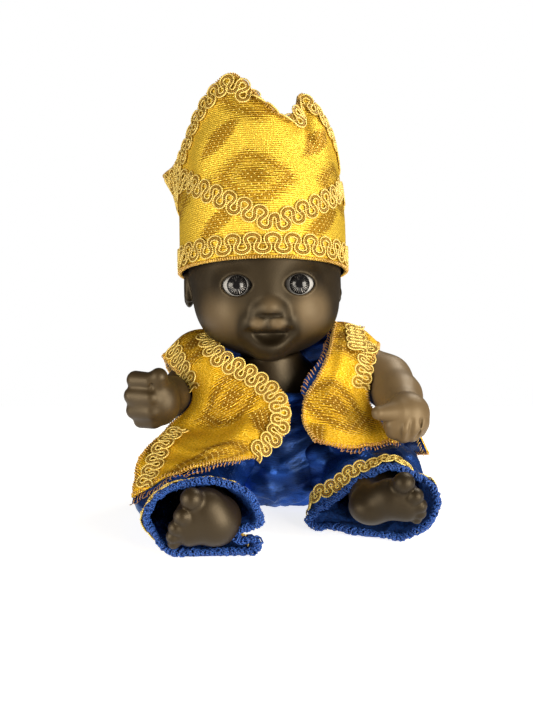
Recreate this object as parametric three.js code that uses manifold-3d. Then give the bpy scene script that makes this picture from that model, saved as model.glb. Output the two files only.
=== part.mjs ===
// A seated baby doll of dark moulded vinyl, dressed for a home altar in a gold brocade crown hat and
// waistcoat over blue satin trousers, with scrolled gold braid sewn along the edges.
// Millimetres, +Z up. The origin is the middle of the seat's underside. The doll faces -Y, so its own
// right hand is on the -X side.
import * as THREE from 'three';
import { mergeVertices } from 'three/addons/utils/BufferGeometryUtils.js';
import Module from 'manifold-3d';

const wasm = await Module();
wasm.setup();

// Driving sizes.
const GAP = 0.4; // left between two pieces that touch
const CLOTH = 1.4; // brocade or satin with its lining
const BRAID_WIDTH = 9;
const BRAID_THICK = 1.3;
const HEAD_AT = [-4, 6, 110];
const HEAD_LEAN = 5; // degrees, backwards
const HEAD_ROLL = 2; // degrees, towards -X
const HEAD_YAW = 1.6; // degrees, towards +X
const EYE_RADIUS = 7;
const HAT_AT = [-5.6, 8, 111.2]; // the middle of the brim
const HAT_LEAN = 12.6;
const HAT_RADII = [39.5, 42]; // across and front to back

const radians = (degrees) => (degrees * Math.PI) / 180;
const mix = (a, b, t) => a + (b - a) * t;

// Solids

function solidOf(geometry) {
  const bare = geometry.clone();
  bare.deleteAttribute('normal');
  bare.deleteAttribute('uv');
  const merged = mergeVertices(bare, 1e-4);
  return new wasm.Manifold(
    new wasm.Mesh({
      numProp: 3,
      vertProperties: new Float32Array(merged.attributes.position.array),
      triVerts: new Uint32Array(merged.index.array),
    }),
  );
}

function geometryOf(solid) {
  const mesh = solid.getMesh();
  const geometry = new THREE.BufferGeometry();
  geometry.setAttribute('position', new THREE.BufferAttribute(new Float32Array(mesh.vertProperties), 3));
  geometry.setIndex(new THREE.BufferAttribute(new Uint32Array(mesh.triVerts), 1));
  geometry.computeVertexNormals();
  return geometry;
}

const joined = (solids) => solids.reduce((all, next) => all.add(next));
const cutBy = (solid, others) => others.reduce((left, other) => left.subtract(other), solid);

function ellipsoid(at, radii, { grow = 0, turn = [0, 0, 0], around = 14, down = 10 } = {}) {
  const place = new THREE.Matrix4().compose(
    new THREE.Vector3(...at),
    new THREE.Quaternion().setFromEuler(new THREE.Euler(...turn.map(radians))),
    new THREE.Vector3(...radii.map((r) => r + grow)),
  );
  // The sphere's poles lie along Y, so it is turned to put them on Z.
  const ball = new THREE.SphereGeometry(1, around, down).rotateX(Math.PI / 2);
  return solidOf(ball.applyMatrix4(place));
}

// Two balls and the cone that is tangent to both.
function taperedCapsule([ax, ay, az, ar], [bx, by, bz, br], around, grow) {
  const from = new THREE.Vector3(ax, ay, az);
  const along = new THREE.Vector3(bx, by, bz).sub(from);
  const length = along.length();
  const [r0, r1] = [ar + grow, br + grow];
  const slope = Math.asin(Math.max(-1, Math.min(1, (r0 - r1) / length)));
  const arcSteps = 2; // over each ball
  const profile = [];
  for (let i = 0; i <= arcSteps; i++) {
    const angle = mix(-Math.PI / 2, slope, i / arcSteps);
    profile.push(new THREE.Vector2(i ? r0 * Math.cos(angle) : 0, r0 * Math.sin(angle)));
  }
  for (let i = 0; i <= arcSteps; i++) {
    const angle = mix(slope, Math.PI / 2, i / arcSteps);
    const onAxis = i === arcSteps;
    profile.push(new THREE.Vector2(onAxis ? 0 : r1 * Math.cos(angle), length + r1 * Math.sin(angle)));
  }
  const turn = new THREE.Quaternion().setFromUnitVectors(new THREE.Vector3(0, 1, 0), along.normalize());
  const place = new THREE.Matrix4().compose(from, turn, new THREE.Vector3(1, 1, 1));
  return solidOf(new THREE.LatheGeometry(profile, around).applyMatrix4(place));
}

// A chain of tapered capsules through stations of [x, y, z, radius].
function limb(stations, { grow = 0, around = 10 } = {}) {
  return joined(stations.slice(1).map((b, i) => taperedCapsule(stations[i], b, around, grow)));
}

// Cloth and braid

// The triangles of a block of points that is (uSteps + 1) wide, (vSteps + 1) long and two layers thick.
function blockGeometry(pointAt, uSteps, vSteps, wraps) {
  const columns = wraps ? uSteps : uSteps + 1;
  const positions = [];
  for (const layer of [0, 1])
    for (let j = 0; j <= vSteps; j++)
      for (let i = 0; i < columns; i++) positions.push(...pointAt(i / uSteps, j / vSteps, layer));
  const at = (i, j, layer) => (layer * (vSteps + 1) + j) * columns + (i % columns);
  const index = [];
  const quad = (a, b, c, d) => index.push(a, b, c, a, c, d);
  for (let j = 0; j < vSteps; j++)
    for (let i = 0; i < uSteps; i++) {
      quad(at(i, j, 1), at(i + 1, j, 1), at(i + 1, j + 1, 1), at(i, j + 1, 1));
      quad(at(i, j, 0), at(i, j + 1, 0), at(i + 1, j + 1, 0), at(i + 1, j, 0));
    }
  for (let i = 0; i < uSteps; i++) {
    quad(at(i, 0, 0), at(i + 1, 0, 0), at(i + 1, 0, 1), at(i, 0, 1));
    quad(at(i, vSteps, 1), at(i + 1, vSteps, 1), at(i + 1, vSteps, 0), at(i, vSteps, 0));
  }
  if (!wraps)
    for (let j = 0; j < vSteps; j++) {
      quad(at(0, j, 0), at(0, j, 1), at(0, j + 1, 1), at(0, j + 1, 0));
      quad(at(uSteps, j, 1), at(uSteps, j, 0), at(uSteps, j + 1, 0), at(uSteps, j + 1, 1));
    }
  const geometry = new THREE.BufferGeometry();
  geometry.setAttribute('position', new THREE.Float32BufferAttribute(positions, 3));
  geometry.setIndex(index);
  return geometry;
}

// A block's solid, turned right side out whichever way its surface runs.
function blockSolid(pointAt, uSteps, vSteps, wraps = false) {
  const geometry = blockGeometry(pointAt, uSteps, vSteps, wraps);
  const solid = solidOf(geometry);
  if (solid.volume() > 0) return solid;
  return solidOf(blockGeometry((u, v, layer) => pointAt(u, v, 1 - layer), uSteps, vSteps, wraps));
}

function normalOf(surface, u, v) {
  const step = 1e-3;
  const du = surface(u + step, v).sub(surface(u - step, v));
  const dv = surface(u, v + step).sub(surface(u, v - step));
  return du.cross(dv).normalize();
}

// A sheet of cloth with its middle on surface(u, v).
function clothSolid(surface, uSteps, vSteps, wraps = false) {
  const pointAt = (u, v, layer) => {
    const half = (layer - 0.5) * CLOTH;
    return surface(u, v).addScaledVector(normalOf(surface, u, v), half).toArray();
  };
  return blockSolid(pointAt, uSteps, vSteps, wraps);
}

// A flat braid on a surface's outer side, along path(t) = [u, v].
function braidSolid(surface, path, steps, { outside = 1, wraps = false, lift = 0, width = BRAID_WIDTH } = {}) {
  const base = CLOTH / 2 + GAP + lift;
  const spot = (t) => surface(...path(t));
  const pointAt = (t, across, layer) => {
    const step = 1e-3;
    const along = spot(t + step).sub(spot(t - step)).normalize();
    const out = normalOf(surface, ...path(t)).multiplyScalar(outside);
    const side = out.clone().cross(along).normalize();
    return spot(t)
      .addScaledVector(side, (across - 0.5) * width)
      .addScaledVector(out, base + layer * BRAID_THICK)
      .toArray();
  };
  return blockSolid(pointAt, steps, 1, wraps);
}

// A smooth surface through rows of points, each row running across the cloth.
function drapedSurface(rows) {
  const across = rows.map((row) => new THREE.CatmullRomCurve3(row.map((p) => new THREE.Vector3(...p))));
  const inRange = (t) => Math.min(1, Math.max(0, t));
  return (u, v) => {
    const column = new THREE.CatmullRomCurve3(across.map((curve) => curve.getPoint(inRange(u))));
    const point = column.getPoint(inRange(v));
    // Past an edge the surface runs straight on.
    const [du, dv] = [u - inRange(u), v - inRange(v)];
    if (du) {
      const inner = column.getPoint(inRange(v));
      const [a, b] = [inRange(u), inRange(u - Math.sign(du) * 0.02)];
      const columnB = new THREE.CatmullRomCurve3(across.map((curve) => curve.getPoint(b)));
      point.addScaledVector(inner.sub(columnB.getPoint(inRange(v))), du / (a - b));
    }
    if (dv) {
      const near = column.getPoint(inRange(v - Math.sign(dv) * 0.02));
      point.addScaledVector(column.getPoint(inRange(v)).sub(near), Math.abs(dv) / 0.02);
    }
    return point;
  };
}

// Head

const headTurn = [-HEAD_LEAN, -HEAD_ROLL, HEAD_YAW];

function inHead(place) {
  const turn = new THREE.Euler(...headTurn.map(radians));
  return new THREE.Vector3(...place).applyEuler(turn).add(new THREE.Vector3(...HEAD_AT)).toArray();
}

const headPart = (at, radii, options = {}) => ellipsoid(inHead(at), radii, { turn: headTurn, ...options });

// The rounded masses of the head, each with its middle and its half sizes.
const headMasses = {
  skull: [[-0.8, 2, 3], [36.6, 39, 38]],
  lowerFace: [[0, -3, -14], [34, 29.5, 24.5]],
  rightCheek: [[-13.5, -13, -16], [16.5, 20.5, 15.5]],
  leftCheek: [[13.5, -13, -16], [16.5, 20.5, 15.5]],
  muzzle: [[0, -19, -24], [15, 15.6, 12]],
  chin: [[0, -21, -32], [9, 10, 7.5]],
};

// How far a ray from a place runs before it leaves an ellipsoid, or 0 if it misses.
function rayReach(from, direction, [at, radii]) {
  const scaled = (v) => new THREE.Vector3(v.x / radii[0], v.y / radii[1], v.z / radii[2]);
  const d = scaled(direction);
  const o = scaled(from.clone().sub(new THREE.Vector3(...at)));
  const half = o.dot(d) / d.lengthSq();
  const inside = half * half - (o.lengthSq() - 1) / d.lengthSq();
  return inside > 0 ? Math.max(0, Math.sqrt(inside) - half) : 0;
}

// One surface over all the masses: in every direction it lies at the furthest of them, softened where
// two meet.
function headMass(grow = 0) {
  const from = new THREE.Vector3(0, -3, -7);
  const soft = 0.9;
  const ball = new THREE.SphereGeometry(1, 20, 14).rotateX(Math.PI / 2);
  const place = ball.attributes.position;
  for (let i = 0; i < place.count; i++) {
    const direction = new THREE.Vector3().fromBufferAttribute(place, i).normalize();
    const reaches = Object.values(headMasses).map((mass) => rayReach(from, direction, mass));
    const furthest = Math.max(...reaches);
    const near = reaches.reduce((sum, reach) => sum + Math.exp((reach - furthest) / soft), 0);
    const reach = furthest + soft * Math.log(near) + grow;
    place.setXYZ(i, ...inHead(from.clone().addScaledVector(direction, reach).toArray()));
  }
  return solidOf(ball);
}

const eyePlaces = { right: [-14.3, -28.4, -4.4], left: [13.9, -28.4, -4.4] };

function eyeSolid(place, grow = 0) {
  return headPart(place, [EYE_RADIUS, EYE_RADIUS, EYE_RADIUS], { grow, around: 10, down: 6 });
}

const headFeatures = {
  nose: [[0.2, -34.6, -15.4], [5.6, 4.8, 3.4]],
  upperLip: [[0, -33.4, -22.2], [8.6, 4.2, 3.2]],
  rightEar: [[-37.6, 5.2, -5.4], [3.3, 6.6, 10.4]],
  leftEar: [[34.6, 10.2, -5.4], [3.3, 6.6, 10.4]],
};

// The head before its mouth and its sockets are cut.
function wholeHead(grow = 0) {
  const features = Object.values(headFeatures);
  const raised = features.map(([at, radii]) => headPart(at, radii, { grow, around: 8, down: 5 }));
  return joined([headMass(grow), ...raised]);
}

function headSolid() {
  const mouth = headPart([0.4, -36.5, -28], [7.6, 6, 3], { around: 8, down: 6 });
  const sockets = Object.values(eyePlaces).map((place) => eyeSolid(place, GAP));
  return cutBy(wholeHead(), [mouth, ...sockets]);
}

// Torso, arms and legs

function torsoMass(grow = 0) {
  return joined([
    ellipsoid([0, 9, 48], [28, 19, 26], { grow, around: 10, down: 6 }),
    ellipsoid([2, 8, 24], [31, 25, 21.5], { grow, around: 10, down: 5 }),
    ellipsoid([-2, 7, 68], [15, 15, 16], { grow, around: 8, down: 5 }),
  ]);
}

// Each arm's stations run from the shoulder to the wrist, and each finger is folded over the palm.
const rightArm = {
  stations: [
    [-36, 5, 65, 11.5],
    [-45.5, -3, 53.5, 10.5],
    [-49, -17, 55.5, 9.8],
    [-54, -26, 55, 9.8],
  ],
  palm: [[-57, -28, 56], [9.6, 9.6, 11.6]],
  fingers: [
    [[-62.4, -30.5, 64.4, 4], [-57.4, -36, 65.2, 3.6]],
    [[-63.4, -31.5, 58.8, 4.4], [-57, -37.4, 59.4, 4]],
    [[-63, -30.5, 52.4, 4.6], [-56.8, -36.4, 52.6, 4]],
    [[-60.6, -28.5, 47.6, 4.2], [-55, -33, 48.4, 3.8]],
    [[-52.4, -30, 56.5, 5], [-51.8, -35, 68, 4]],
  ],
};
const leftArm = {
  stations: [
    [37, 5, 68, 11.5],
    [53, -3.5, 61, 12.2],
    [57, -18, 56, 10.8],
    [57.5, -27, 53, 9.8],
  ],
  palm: [[60.4, -35, 50], [9.8, 9.4, 11.2]],
  fingers: [
    [[53.4, -40.5, 47, 3.4], [53.6, -40, 43.4, 3]],
    [[57.6, -42, 46.4, 3.7], [57.4, -40.6, 42.6, 3.2]],
    [[62.2, -41, 46.4, 3.6], [61.4, -39.6, 42.8, 3.1]],
    [[66, -38, 47.4, 3.2], [65.2, -37, 44.2, 2.8]],
    [[54.5, -39.5, 53.6, 4.6], [44.4, -42.8, 53, 2.5]],
  ],
};

function armMass(arm, grow = 0) {
  const fingers = arm.fingers.map((stations) => limb(stations, { grow, around: 5 }));
  const palm = ellipsoid(...arm.palm, { grow, around: 8, down: 6 });
  return joined([limb(arm.stations, { grow, around: 8 }), palm, ...fingers]);
}

// Each leg is folded outwards, so that the sole faces forwards with the big toe uppermost.
const rightLeg = {
  stations: [
    [-18, 2, 24, 12],
    [-43, -24, 20.5, 12],
    [-30, -60, 15.5, 9.8],
    [-24, -72, 15.5, 9.5],
  ],
  heel: [[-24.6, -76, 14.2], [9.4, 9, 9.6]],
  ball: [[-28.6, -77, 18.6], [11.2, 8.8, 11.4]],
  toes: [
    [-33.7, -82.5, 26.4, 4.4],
    [-37.3, -83, 19.3, 3.5],
    [-40.2, -82.5, 14.8, 3.1],
    [-42.2, -81.5, 10.6, 2.8],
    [-42.8, -80, 7, 2.4],
  ],
};
const leftLeg = {
  stations: [
    [20, 2, 24, 12],
    [45, -18, 20.5, 12],
    [43, -48, 18, 10.5],
    [41, -60, 18, 9],
  ],
  heel: [[40.2, -64.5, 18.2], [9.4, 9, 7.6]],
  ball: [[48.6, -67, 21.2], [11.4, 8.8, 8.8]],
  toes: [
    [52.4, -73.5, 30.8, 4.2],
    [57.1, -73, 25, 3.2],
    [59.6, -72, 20.9, 2.9],
    [60.4, -70.5, 17.4, 2.5],
    [59.8, -69, 14.4, 2.2],
  ],
};

function legMass(leg, grow = 0) {
  const [ballAt] = leg.ball;
  const toes = leg.toes.map((toe) => {
    const root = [mix(toe[0], ballAt[0], 0.4), toe[1] + 3, mix(toe[2], ballAt[2], 0.4), toe[3]];
    return limb([root, toe], { grow, around: 6 });
  });
  return joined([
    limb(leg.stations, { grow, around: 6 }),
    ellipsoid(...leg.heel, { grow, around: 8, down: 5 }),
    ellipsoid(...leg.ball, { grow, around: 8, down: 6 }),
    ...toes,
  ]);
}

// Hat

// The crown's edge: [degrees round from the front, height above the brim, radius there].
// Its four points and the dips between them; one point has flopped outwards.
const crownEdge = [
  [-180, 58, 38],
  [-150, 64, 39.5],
  [-122, 55, 49],
  [-105, 53, 50],
  [-88, 54, 41.5],
  [-66, 62, 38],
  [-46, 77.5, 36],
  [-20, 86.5, 36],
  [-5, 77, 37],
  [17, 65, 37.5],
  [42, 81, 29],
  [66, 74, 31.5],
  [88, 64, 35],
  [110, 58, 37],
  [145, 78, 32],
  [180, 58, 38],
];
const HAT_STEPS = 34; // facets round the hat
// The braid that crosses the front in a V, in the same way: straight from point to point.
const chevronLine = [
  [-180, 20],
  [-92, 38],
  [-68, 43.5],
  [8, 15],
  [80, 40],
  [180, 20],
];

const wrapped = (degrees) => ((((degrees + 180) % 360) + 360) % 360) - 180;
const crownPoints = crownEdge.map((p) => new THREE.Vector3(...p));
const crownCurve = new THREE.CatmullRomCurve3(crownPoints, false, 'centripetal');

function crownAt(degrees) {
  let [low, high] = [0, 1];
  for (let i = 0; i < 30; i++) {
    const middle = (low + high) / 2;
    if (crownCurve.getPoint(middle).x < wrapped(degrees)) low = middle;
    else high = middle;
  }
  const edge = crownCurve.getPoint(low);
  return { height: edge.y, radius: edge.z };
}

function chevronAt(degrees) {
  const next = chevronLine.findIndex(([angle]) => angle > wrapped(degrees));
  const [[a, low], [b, high]] = [chevronLine[next - 1], chevronLine[next]];
  return mix(low, high, (wrapped(degrees) - a) / (b - a));
}

const hatTurn = new THREE.Euler(radians(-HAT_LEAN), radians(-1), 0);

// u runs once round from the back, and v from the brim to the edge of the crown.
function hatSurface(u, v) {
  const degrees = u * 360 - 180;
  const edge = crownAt(degrees);
  const height = v * edge.height;
  const bend = Math.max(0, (height - 24) / (edge.height - 24)) ** 1.6;
  const [wide, deep] = HAT_RADII.map((radius) => mix(radius, edge.radius, bend));
  const angle = radians(degrees);
  return new THREE.Vector3(wide * Math.sin(angle), -deep * Math.cos(angle), height)
    .applyEuler(hatTurn)
    .add(new THREE.Vector3(...HAT_AT));
}

const hatHeight = (u, height) => [u, height / crownAt(u * 360 - 180).height];

const hatSolid = () => clothSolid(hatSurface, HAT_STEPS, 3, true);

function hatBraids() {
  const lift = 0.7; // clear of the folds at the crown's points
  const crown = (t) => hatHeight(t, crownAt(t * 360 - 180).height - BRAID_WIDTH / 2 - 0.5);
  const chevron = (t) => hatHeight(t, chevronAt(t * 360 - 180));
  return {
    hat_brim_braid: braidSolid(hatSurface, (t) => hatHeight(t, 6.5), HAT_STEPS, { wraps: true }),
    hat_chevron_braid: braidSolid(hatSurface, chevron, HAT_STEPS, { wraps: true, lift }),
    hat_crown_braid: braidSolid(hatSurface, crown, HAT_STEPS, { wraps: true, lift }),
  };
}

// Waistcoat

// Rows run from the neck to the arm, and down from the shoulder to the hem.
const waistcoatFrontRight = [
  [[-33, 7, 84.5], [-43, 6, 82.5], [-54, 5, 72]],
  [[-25, -16, 75], [-35, -15.5, 72], [-44, -11, 62]],
  [[-8, -21, 67], [-24, -24, 59], [-42.5, -20, 51.5]],
  [[4.5, -27, 58], [-20, -31, 48], [-49.5, -28, 42.5]],
  [[6, -32, 45], [-23, -45, 41], [-59.5, -42, 34]],
  [[-7.5, -43, 33.5], [-34, -60, 33], [-61.5, -56, 19]],
];
const waistcoatFrontLeft = [
  [[29, 7, 88], [40, 6, 86], [50, 5, 78]],
  [[24.5, -14, 74], [34, -15, 73], [45, -13, 66]],
  [[19, -20.5, 64], [31, -21, 61], [43, -18, 55.5]],
  [[13.5, -26, 56], [29, -27, 52], [46.5, -21, 47]],
  [[13, -30.5, 46], [31, -32, 44], [51, -25, 41]],
  [[18, -36, 39], [33, -38, 36], [56, -27, 36.5]],
];
// Rows run from the arm on the -X side, across the back, to the other arm.
const waistcoatBack = [
  [[-54, 3, 72], [-43, 4, 82.5], [-33, 5, 84.5], [-1, 29, 73], [29, 5, 88], [40, 4, 86], [50, 3, 78]],
  [[-52, 16, 60], [-41, 24, 64], [-26, 30, 65], [-1, 35, 62], [24, 30, 66], [38, 24, 66], [50, 16, 62]],
  [[-47, 26, 45], [-37, 32, 46], [-22, 36, 47], [0, 38, 47], [22, 36, 47], [35, 32, 46], [44, 26, 45]],
  [[-48, 33, 30], [-38, 38, 30], [-20, 41, 30], [0, 42, 30], [22, 41, 30], [38, 37, 32], [58, 20, 37]],
  [[-54, 38, 15], [-42, 43, 13], [-22, 45, 12], [1, 46, 12], [24, 45, 12], [48, 38, 16], [75, 6, 31]],
];

function waistcoatSolid() {
  return joined([
    clothSolid(drapedSurface(waistcoatFrontRight), 5, 8),
    clothSolid(drapedSurface(waistcoatFrontLeft), 4, 8),
    clothSolid(drapedSurface(waistcoatBack), 9, 4),
  ]);
}

function waistcoatBraids() {
  const inset = 0.16; // of a panel's width, from its edge to the braid's middle
  const lift = 0.6; // clear of the panel's facets
  const right = drapedSurface(waistcoatFrontRight);
  const left = drapedSurface(waistcoatFrontLeft);
  return {
    waistcoat_front_braid: braidSolid(right, (t) => [inset, mix(0.125, 1, t)], 14, { lift }),
    waistcoat_right_arm_braid: braidSolid(right, (t) => [1 - inset, t], 16, { lift }),
    waistcoat_left_arm_braid: braidSolid(left, (t) => [1 - 1.6 * inset, t * 0.375], 6, { lift, outside: -1 }),
  };
}

// Trousers

// Level rings round the body: [height, half width, half depth, the middle's y].
const SEAT_X = 2;
const seatRings = [
  [0, 22, 15, 12],
  [3, 29, 22, 11],
  [12, 35, 29, 8.5],
  [24, 35, 29, 8],
  [40, 33.5, 26, 8],
  [57, 33, 23.5, 8],
];
// Rings down each leg: the middle, the half width along a level direction, and the half height. A
// skewed ring is lifted at one end of its width and lowered at the other.
const rightTrouserRings = [
  { at: [-8, 8, 23], wide: 18, high: 19, across: [0.6, -0.8] },
  { at: [-28, -9, 21.5], wide: 20, high: 19.5, across: [0.7, -0.7] },
  { at: [-41, -27, 18], wide: 20, high: 17, across: [0.95, -0.3] },
  { at: [-40, -48, 16], wide: 20.5, high: 14.5, across: [0.98, 0.2] },
  { at: [-33, -64, 15], wide: 20, high: 13.5, across: [0.99, 0.1] },
  { at: [-29.5, -78, 16.3], wide: 23.5, high: 16.6, across: [1, 0.06], skew: -1.5 },
];
const leftTrouserRings = [
  { at: [12, 8, 23], wide: 18, high: 19, across: [0.6, 0.8] },
  { at: [31, -5, 21.5], wide: 20.5, high: 19.5, across: [0.75, 0.66] },
  { at: [44.5, -20, 19.5], wide: 21, high: 18.5, across: [0.97, 0.24] },
  { at: [45, -36, 18], wide: 21, high: 17, across: [0.99, -0.1] },
  { at: [42, -46, 17.5], wide: 23.5, high: 16.5, across: [0.95, -0.3] },
  { at: [40, -54, 17.5], wide: 29, high: 17, across: [0.91, -0.4], skew: 4 },
];
const ruffles = 5; // waves round the edge of a cuff
const ruffleDepth = 0.06; // of the cuff's radius

// A closed solid through rings of points, with its ends fanned from their middles.
function loftSolid(rings) {
  const count = rings[0].length;
  const middleOf = (ring) =>
    ring.reduce((sum, p) => sum.add(new THREE.Vector3(...p)), new THREE.Vector3()).divideScalar(count).toArray();
  const last = rings.length - 1;
  const positions = [...rings.flat(), middleOf(rings[0]), middleOf(rings[last])].flat();
  const [startMiddle, endMiddle] = [rings.length * count, rings.length * count + 1];
  const index = [];
  for (let i = 0; i < count; i++) {
    const k = (i + 1) % count;
    for (let j = 0; j < last; j++) {
      const [a, b, c, d] = [j * count + i, j * count + k, (j + 1) * count + k, (j + 1) * count + i];
      index.push(a, b, c, a, c, d);
    }
    index.push(startMiddle, k, i, endMiddle, last * count + i, last * count + k);
  }
  const turned = (list) => list.map((_, i) => list[i - (i % 3) + [0, 2, 1][i % 3]]);
  const build = (triangles) => {
    const geometry = new THREE.BufferGeometry();
    geometry.setAttribute('position', new THREE.Float32BufferAttribute(positions, 3));
    geometry.setIndex(triangles);
    return solidOf(geometry);
  };
  const solid = build(index);
  return solid.volume() > 0 ? solid : build(turned(index));
}

const LEG_FACETS = 12; // round each leg

// A point of a trouser ring, shrunk by inset. None goes below the floor of the cloth there.
function trouserPoint({ at, wide, high, across, skew = 0 }, angle, inset, ruffle) {
  const level = new THREE.Vector2(...across).normalize();
  const wave = 1 + ruffle * ruffleDepth * Math.sin(ruffles * angle + 1);
  const sideways = (wide - inset) * Math.cos(angle) * wave;
  const z = at[2] + (high - inset) * Math.sin(angle) * wave + skew * Math.cos(angle);
  return [at[0] + level.x * sideways, at[1] + level.y * sideways, Math.max(z, inset)];
}

function trouserRing(ring, inset, ruffle) {
  const angleAt = (i) => ((i + 0.5) / LEG_FACETS) * 2 * Math.PI; // so that a facet lies flat underneath
  return Array.from({ length: LEG_FACETS }, (_, i) => trouserPoint(ring, angleAt(i), inset, ruffle));
}

function trouserLeg(rings, inset) {
  const lastRing = rings.length - 1;
  const cuffReach = inset > 0 ? 3 : 0; // the hollow runs out past the cloth
  return loftSolid(
    rings.map((ring, i) => {
      const atCuff = i === lastRing;
      const at = atCuff ? [ring.at[0], ring.at[1] - cuffReach, ring.at[2]] : ring.at;
      return trouserRing({ ...ring, at }, inset, atCuff ? 1 : 0);
    }),
  );
}

function trouserSeat(inset) {
  const around = 18;
  const top = seatRings.length - 1;
  return loftSolid(
    seatRings.map(([height, wide, deep, y], j) => {
      const z = j === 0 ? inset : height + (j === top && inset > 0 ? 3 : 0);
      return Array.from({ length: around }, (_, i) => {
        const angle = (i / around) * 2 * Math.PI;
        return [SEAT_X + (wide - inset) * Math.cos(angle), y + (deep - inset) * Math.sin(angle), z];
      });
    }),
  );
}

function trouserMass(inset) {
  return joined([
    trouserSeat(inset),
    trouserLeg(rightTrouserRings, inset),
    trouserLeg(leftTrouserRings, inset),
  ]);
}

// The braid lies round each cuff just behind its edge, and stops where the cuff rests on the ground.
function cuffBraid(rings) {
  const [before, edge] = rings.slice(-2);
  const width = 6;
  const fromEdge = 1.5;
  const [firstFacet, facets] = [-2, 9];
  const blend = (a, b, t) => a.map((value, k) => mix(value, b[k], t));
  const cuffSurface = (u, v) => {
    const ring = {
      at: blend(before.at, edge.at, v),
      across: blend(before.across, edge.across, v),
      wide: mix(before.wide, edge.wide, v),
      high: mix(before.high, edge.high, v),
      skew: mix(0, edge.skew, v),
    };
    return new THREE.Vector3(...trouserPoint(ring, u * 2 * Math.PI, 0, v));
  };
  const spanned = new THREE.Vector3(...edge.at).distanceTo(new THREE.Vector3(...before.at));
  const middle = 1 - (fromEdge + width / 2) / spanned;
  const path = (t) => [(firstFacet + 0.5 + t * facets) / LEG_FACETS, middle];
  const lift = 0.3 - CLOTH / 2; // the surface is the cloth's outside
  return braidSolid(cuffSurface, path, facets, { width, lift });
}

// The doll

const vinyl = new THREE.MeshStandardMaterial({ color: 0x3a2c22, roughness: 0.45, metalness: 0 });
const eyeAcrylic = new THREE.MeshStandardMaterial({ color: 0xb9b6b0, roughness: 0.1, metalness: 0 });
const goldBrocade = new THREE.MeshStandardMaterial({ color: 0xd9a321, roughness: 0.45, metalness: 0.4 });
const goldBraid = new THREE.MeshStandardMaterial({ color: 0xe3b53c, roughness: 0.4, metalness: 0.5 });
const blueSatin = new THREE.MeshStandardMaterial({ color: 0x12309c, roughness: 0.35, metalness: 0 });

const doll = new THREE.Group();

function addPiece(name, solid, material) {
  const mesh = new THREE.Mesh(geometryOf(solid), material);
  mesh.name = name;
  doll.add(mesh);
}

const headGrown = wholeHead(GAP);
const torsoGrown = torsoMass(GAP);
const torso = torsoMass().subtract(headGrown);
const limbsGrown = [armMass(rightArm, GAP), armMass(leftArm, GAP)];
const trousers = trouserMass(0).subtract(trouserMass(CLOTH));
const bodyGrown = [headGrown, torsoGrown, ...limbsGrown];

addPiece('head', headSolid(), vinyl);
for (const [side, place] of Object.entries(eyePlaces)) addPiece(`${side}_eye`, eyeSolid(place), eyeAcrylic);
addPiece('torso', torso, vinyl);
addPiece('right_arm', armMass(rightArm).subtract(torsoGrown), vinyl);
addPiece('left_arm', armMass(leftArm).subtract(torsoGrown), vinyl);
addPiece('right_leg', legMass(rightLeg).subtract(torsoGrown), vinyl);
addPiece('left_leg', legMass(leftLeg).subtract(torsoGrown), vinyl);
addPiece('trousers', cutBy(trousers, limbsGrown), blueSatin);

const trousersGrown = trouserMass(-GAP);
addPiece('waistcoat', cutBy(waistcoatSolid(), [...bodyGrown, trousersGrown]), goldBrocade);
for (const [name, braid] of Object.entries(waistcoatBraids()))
  addPiece(name, cutBy(braid, [headGrown, ...limbsGrown]), goldBraid);

addPiece('hat', cutBy(hatSolid(), [headGrown]), goldBrocade);
for (const [name, braid] of Object.entries(hatBraids())) addPiece(name, braid, goldBraid);
const cuffRings = { right: rightTrouserRings, left: leftTrouserRings };
for (const [side, rings] of Object.entries(cuffRings))
  addPiece(`${side}_cuff_braid`, cuffBraid(rings), goldBraid);

export default doll;
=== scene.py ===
import functools
import math

import bpy
import numpy as np
from mathutils.bvhtree import BVHTree
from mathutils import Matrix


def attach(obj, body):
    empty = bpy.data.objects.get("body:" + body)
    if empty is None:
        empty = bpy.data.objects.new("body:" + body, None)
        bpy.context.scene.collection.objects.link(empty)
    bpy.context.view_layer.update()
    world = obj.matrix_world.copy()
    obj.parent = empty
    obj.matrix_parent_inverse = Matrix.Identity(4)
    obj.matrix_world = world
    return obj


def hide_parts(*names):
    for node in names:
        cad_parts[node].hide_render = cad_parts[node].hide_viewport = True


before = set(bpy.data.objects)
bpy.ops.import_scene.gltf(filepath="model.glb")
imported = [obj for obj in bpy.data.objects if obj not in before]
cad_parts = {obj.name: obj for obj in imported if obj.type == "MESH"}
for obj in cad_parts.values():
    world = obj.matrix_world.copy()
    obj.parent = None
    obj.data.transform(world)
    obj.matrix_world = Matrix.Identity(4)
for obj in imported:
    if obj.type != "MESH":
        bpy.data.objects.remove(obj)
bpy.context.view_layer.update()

# Where the doll is seen from, and the light on it
# The doll sits on a pale table top, seen from a little above its chin. A large soft lamp stands to its
# left, with weaker ones to its right and above, as in a small photo booth.

view_middle = (-0.004, 0.0, 0.0726)
view_distance = 0.45
view_pitch = math.radians(8)
camera = bpy.data.objects.new("camera", bpy.data.cameras.new("camera"))
camera.data.lens = 47.47
camera.data.clip_start = 0.01
camera.location = (
    view_middle[0],
    view_middle[1] - view_distance * math.cos(view_pitch),
    view_middle[2] + view_distance * math.sin(view_pitch),
)
camera.rotation_euler = (math.pi / 2 - view_pitch, 0, 0)
bpy.context.scene.collection.objects.link(camera)
bpy.context.scene.camera = camera
bpy.context.scene.view_settings.view_transform = "Standard"

lamp_aim = (-0.004, 0, 0.09)


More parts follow.
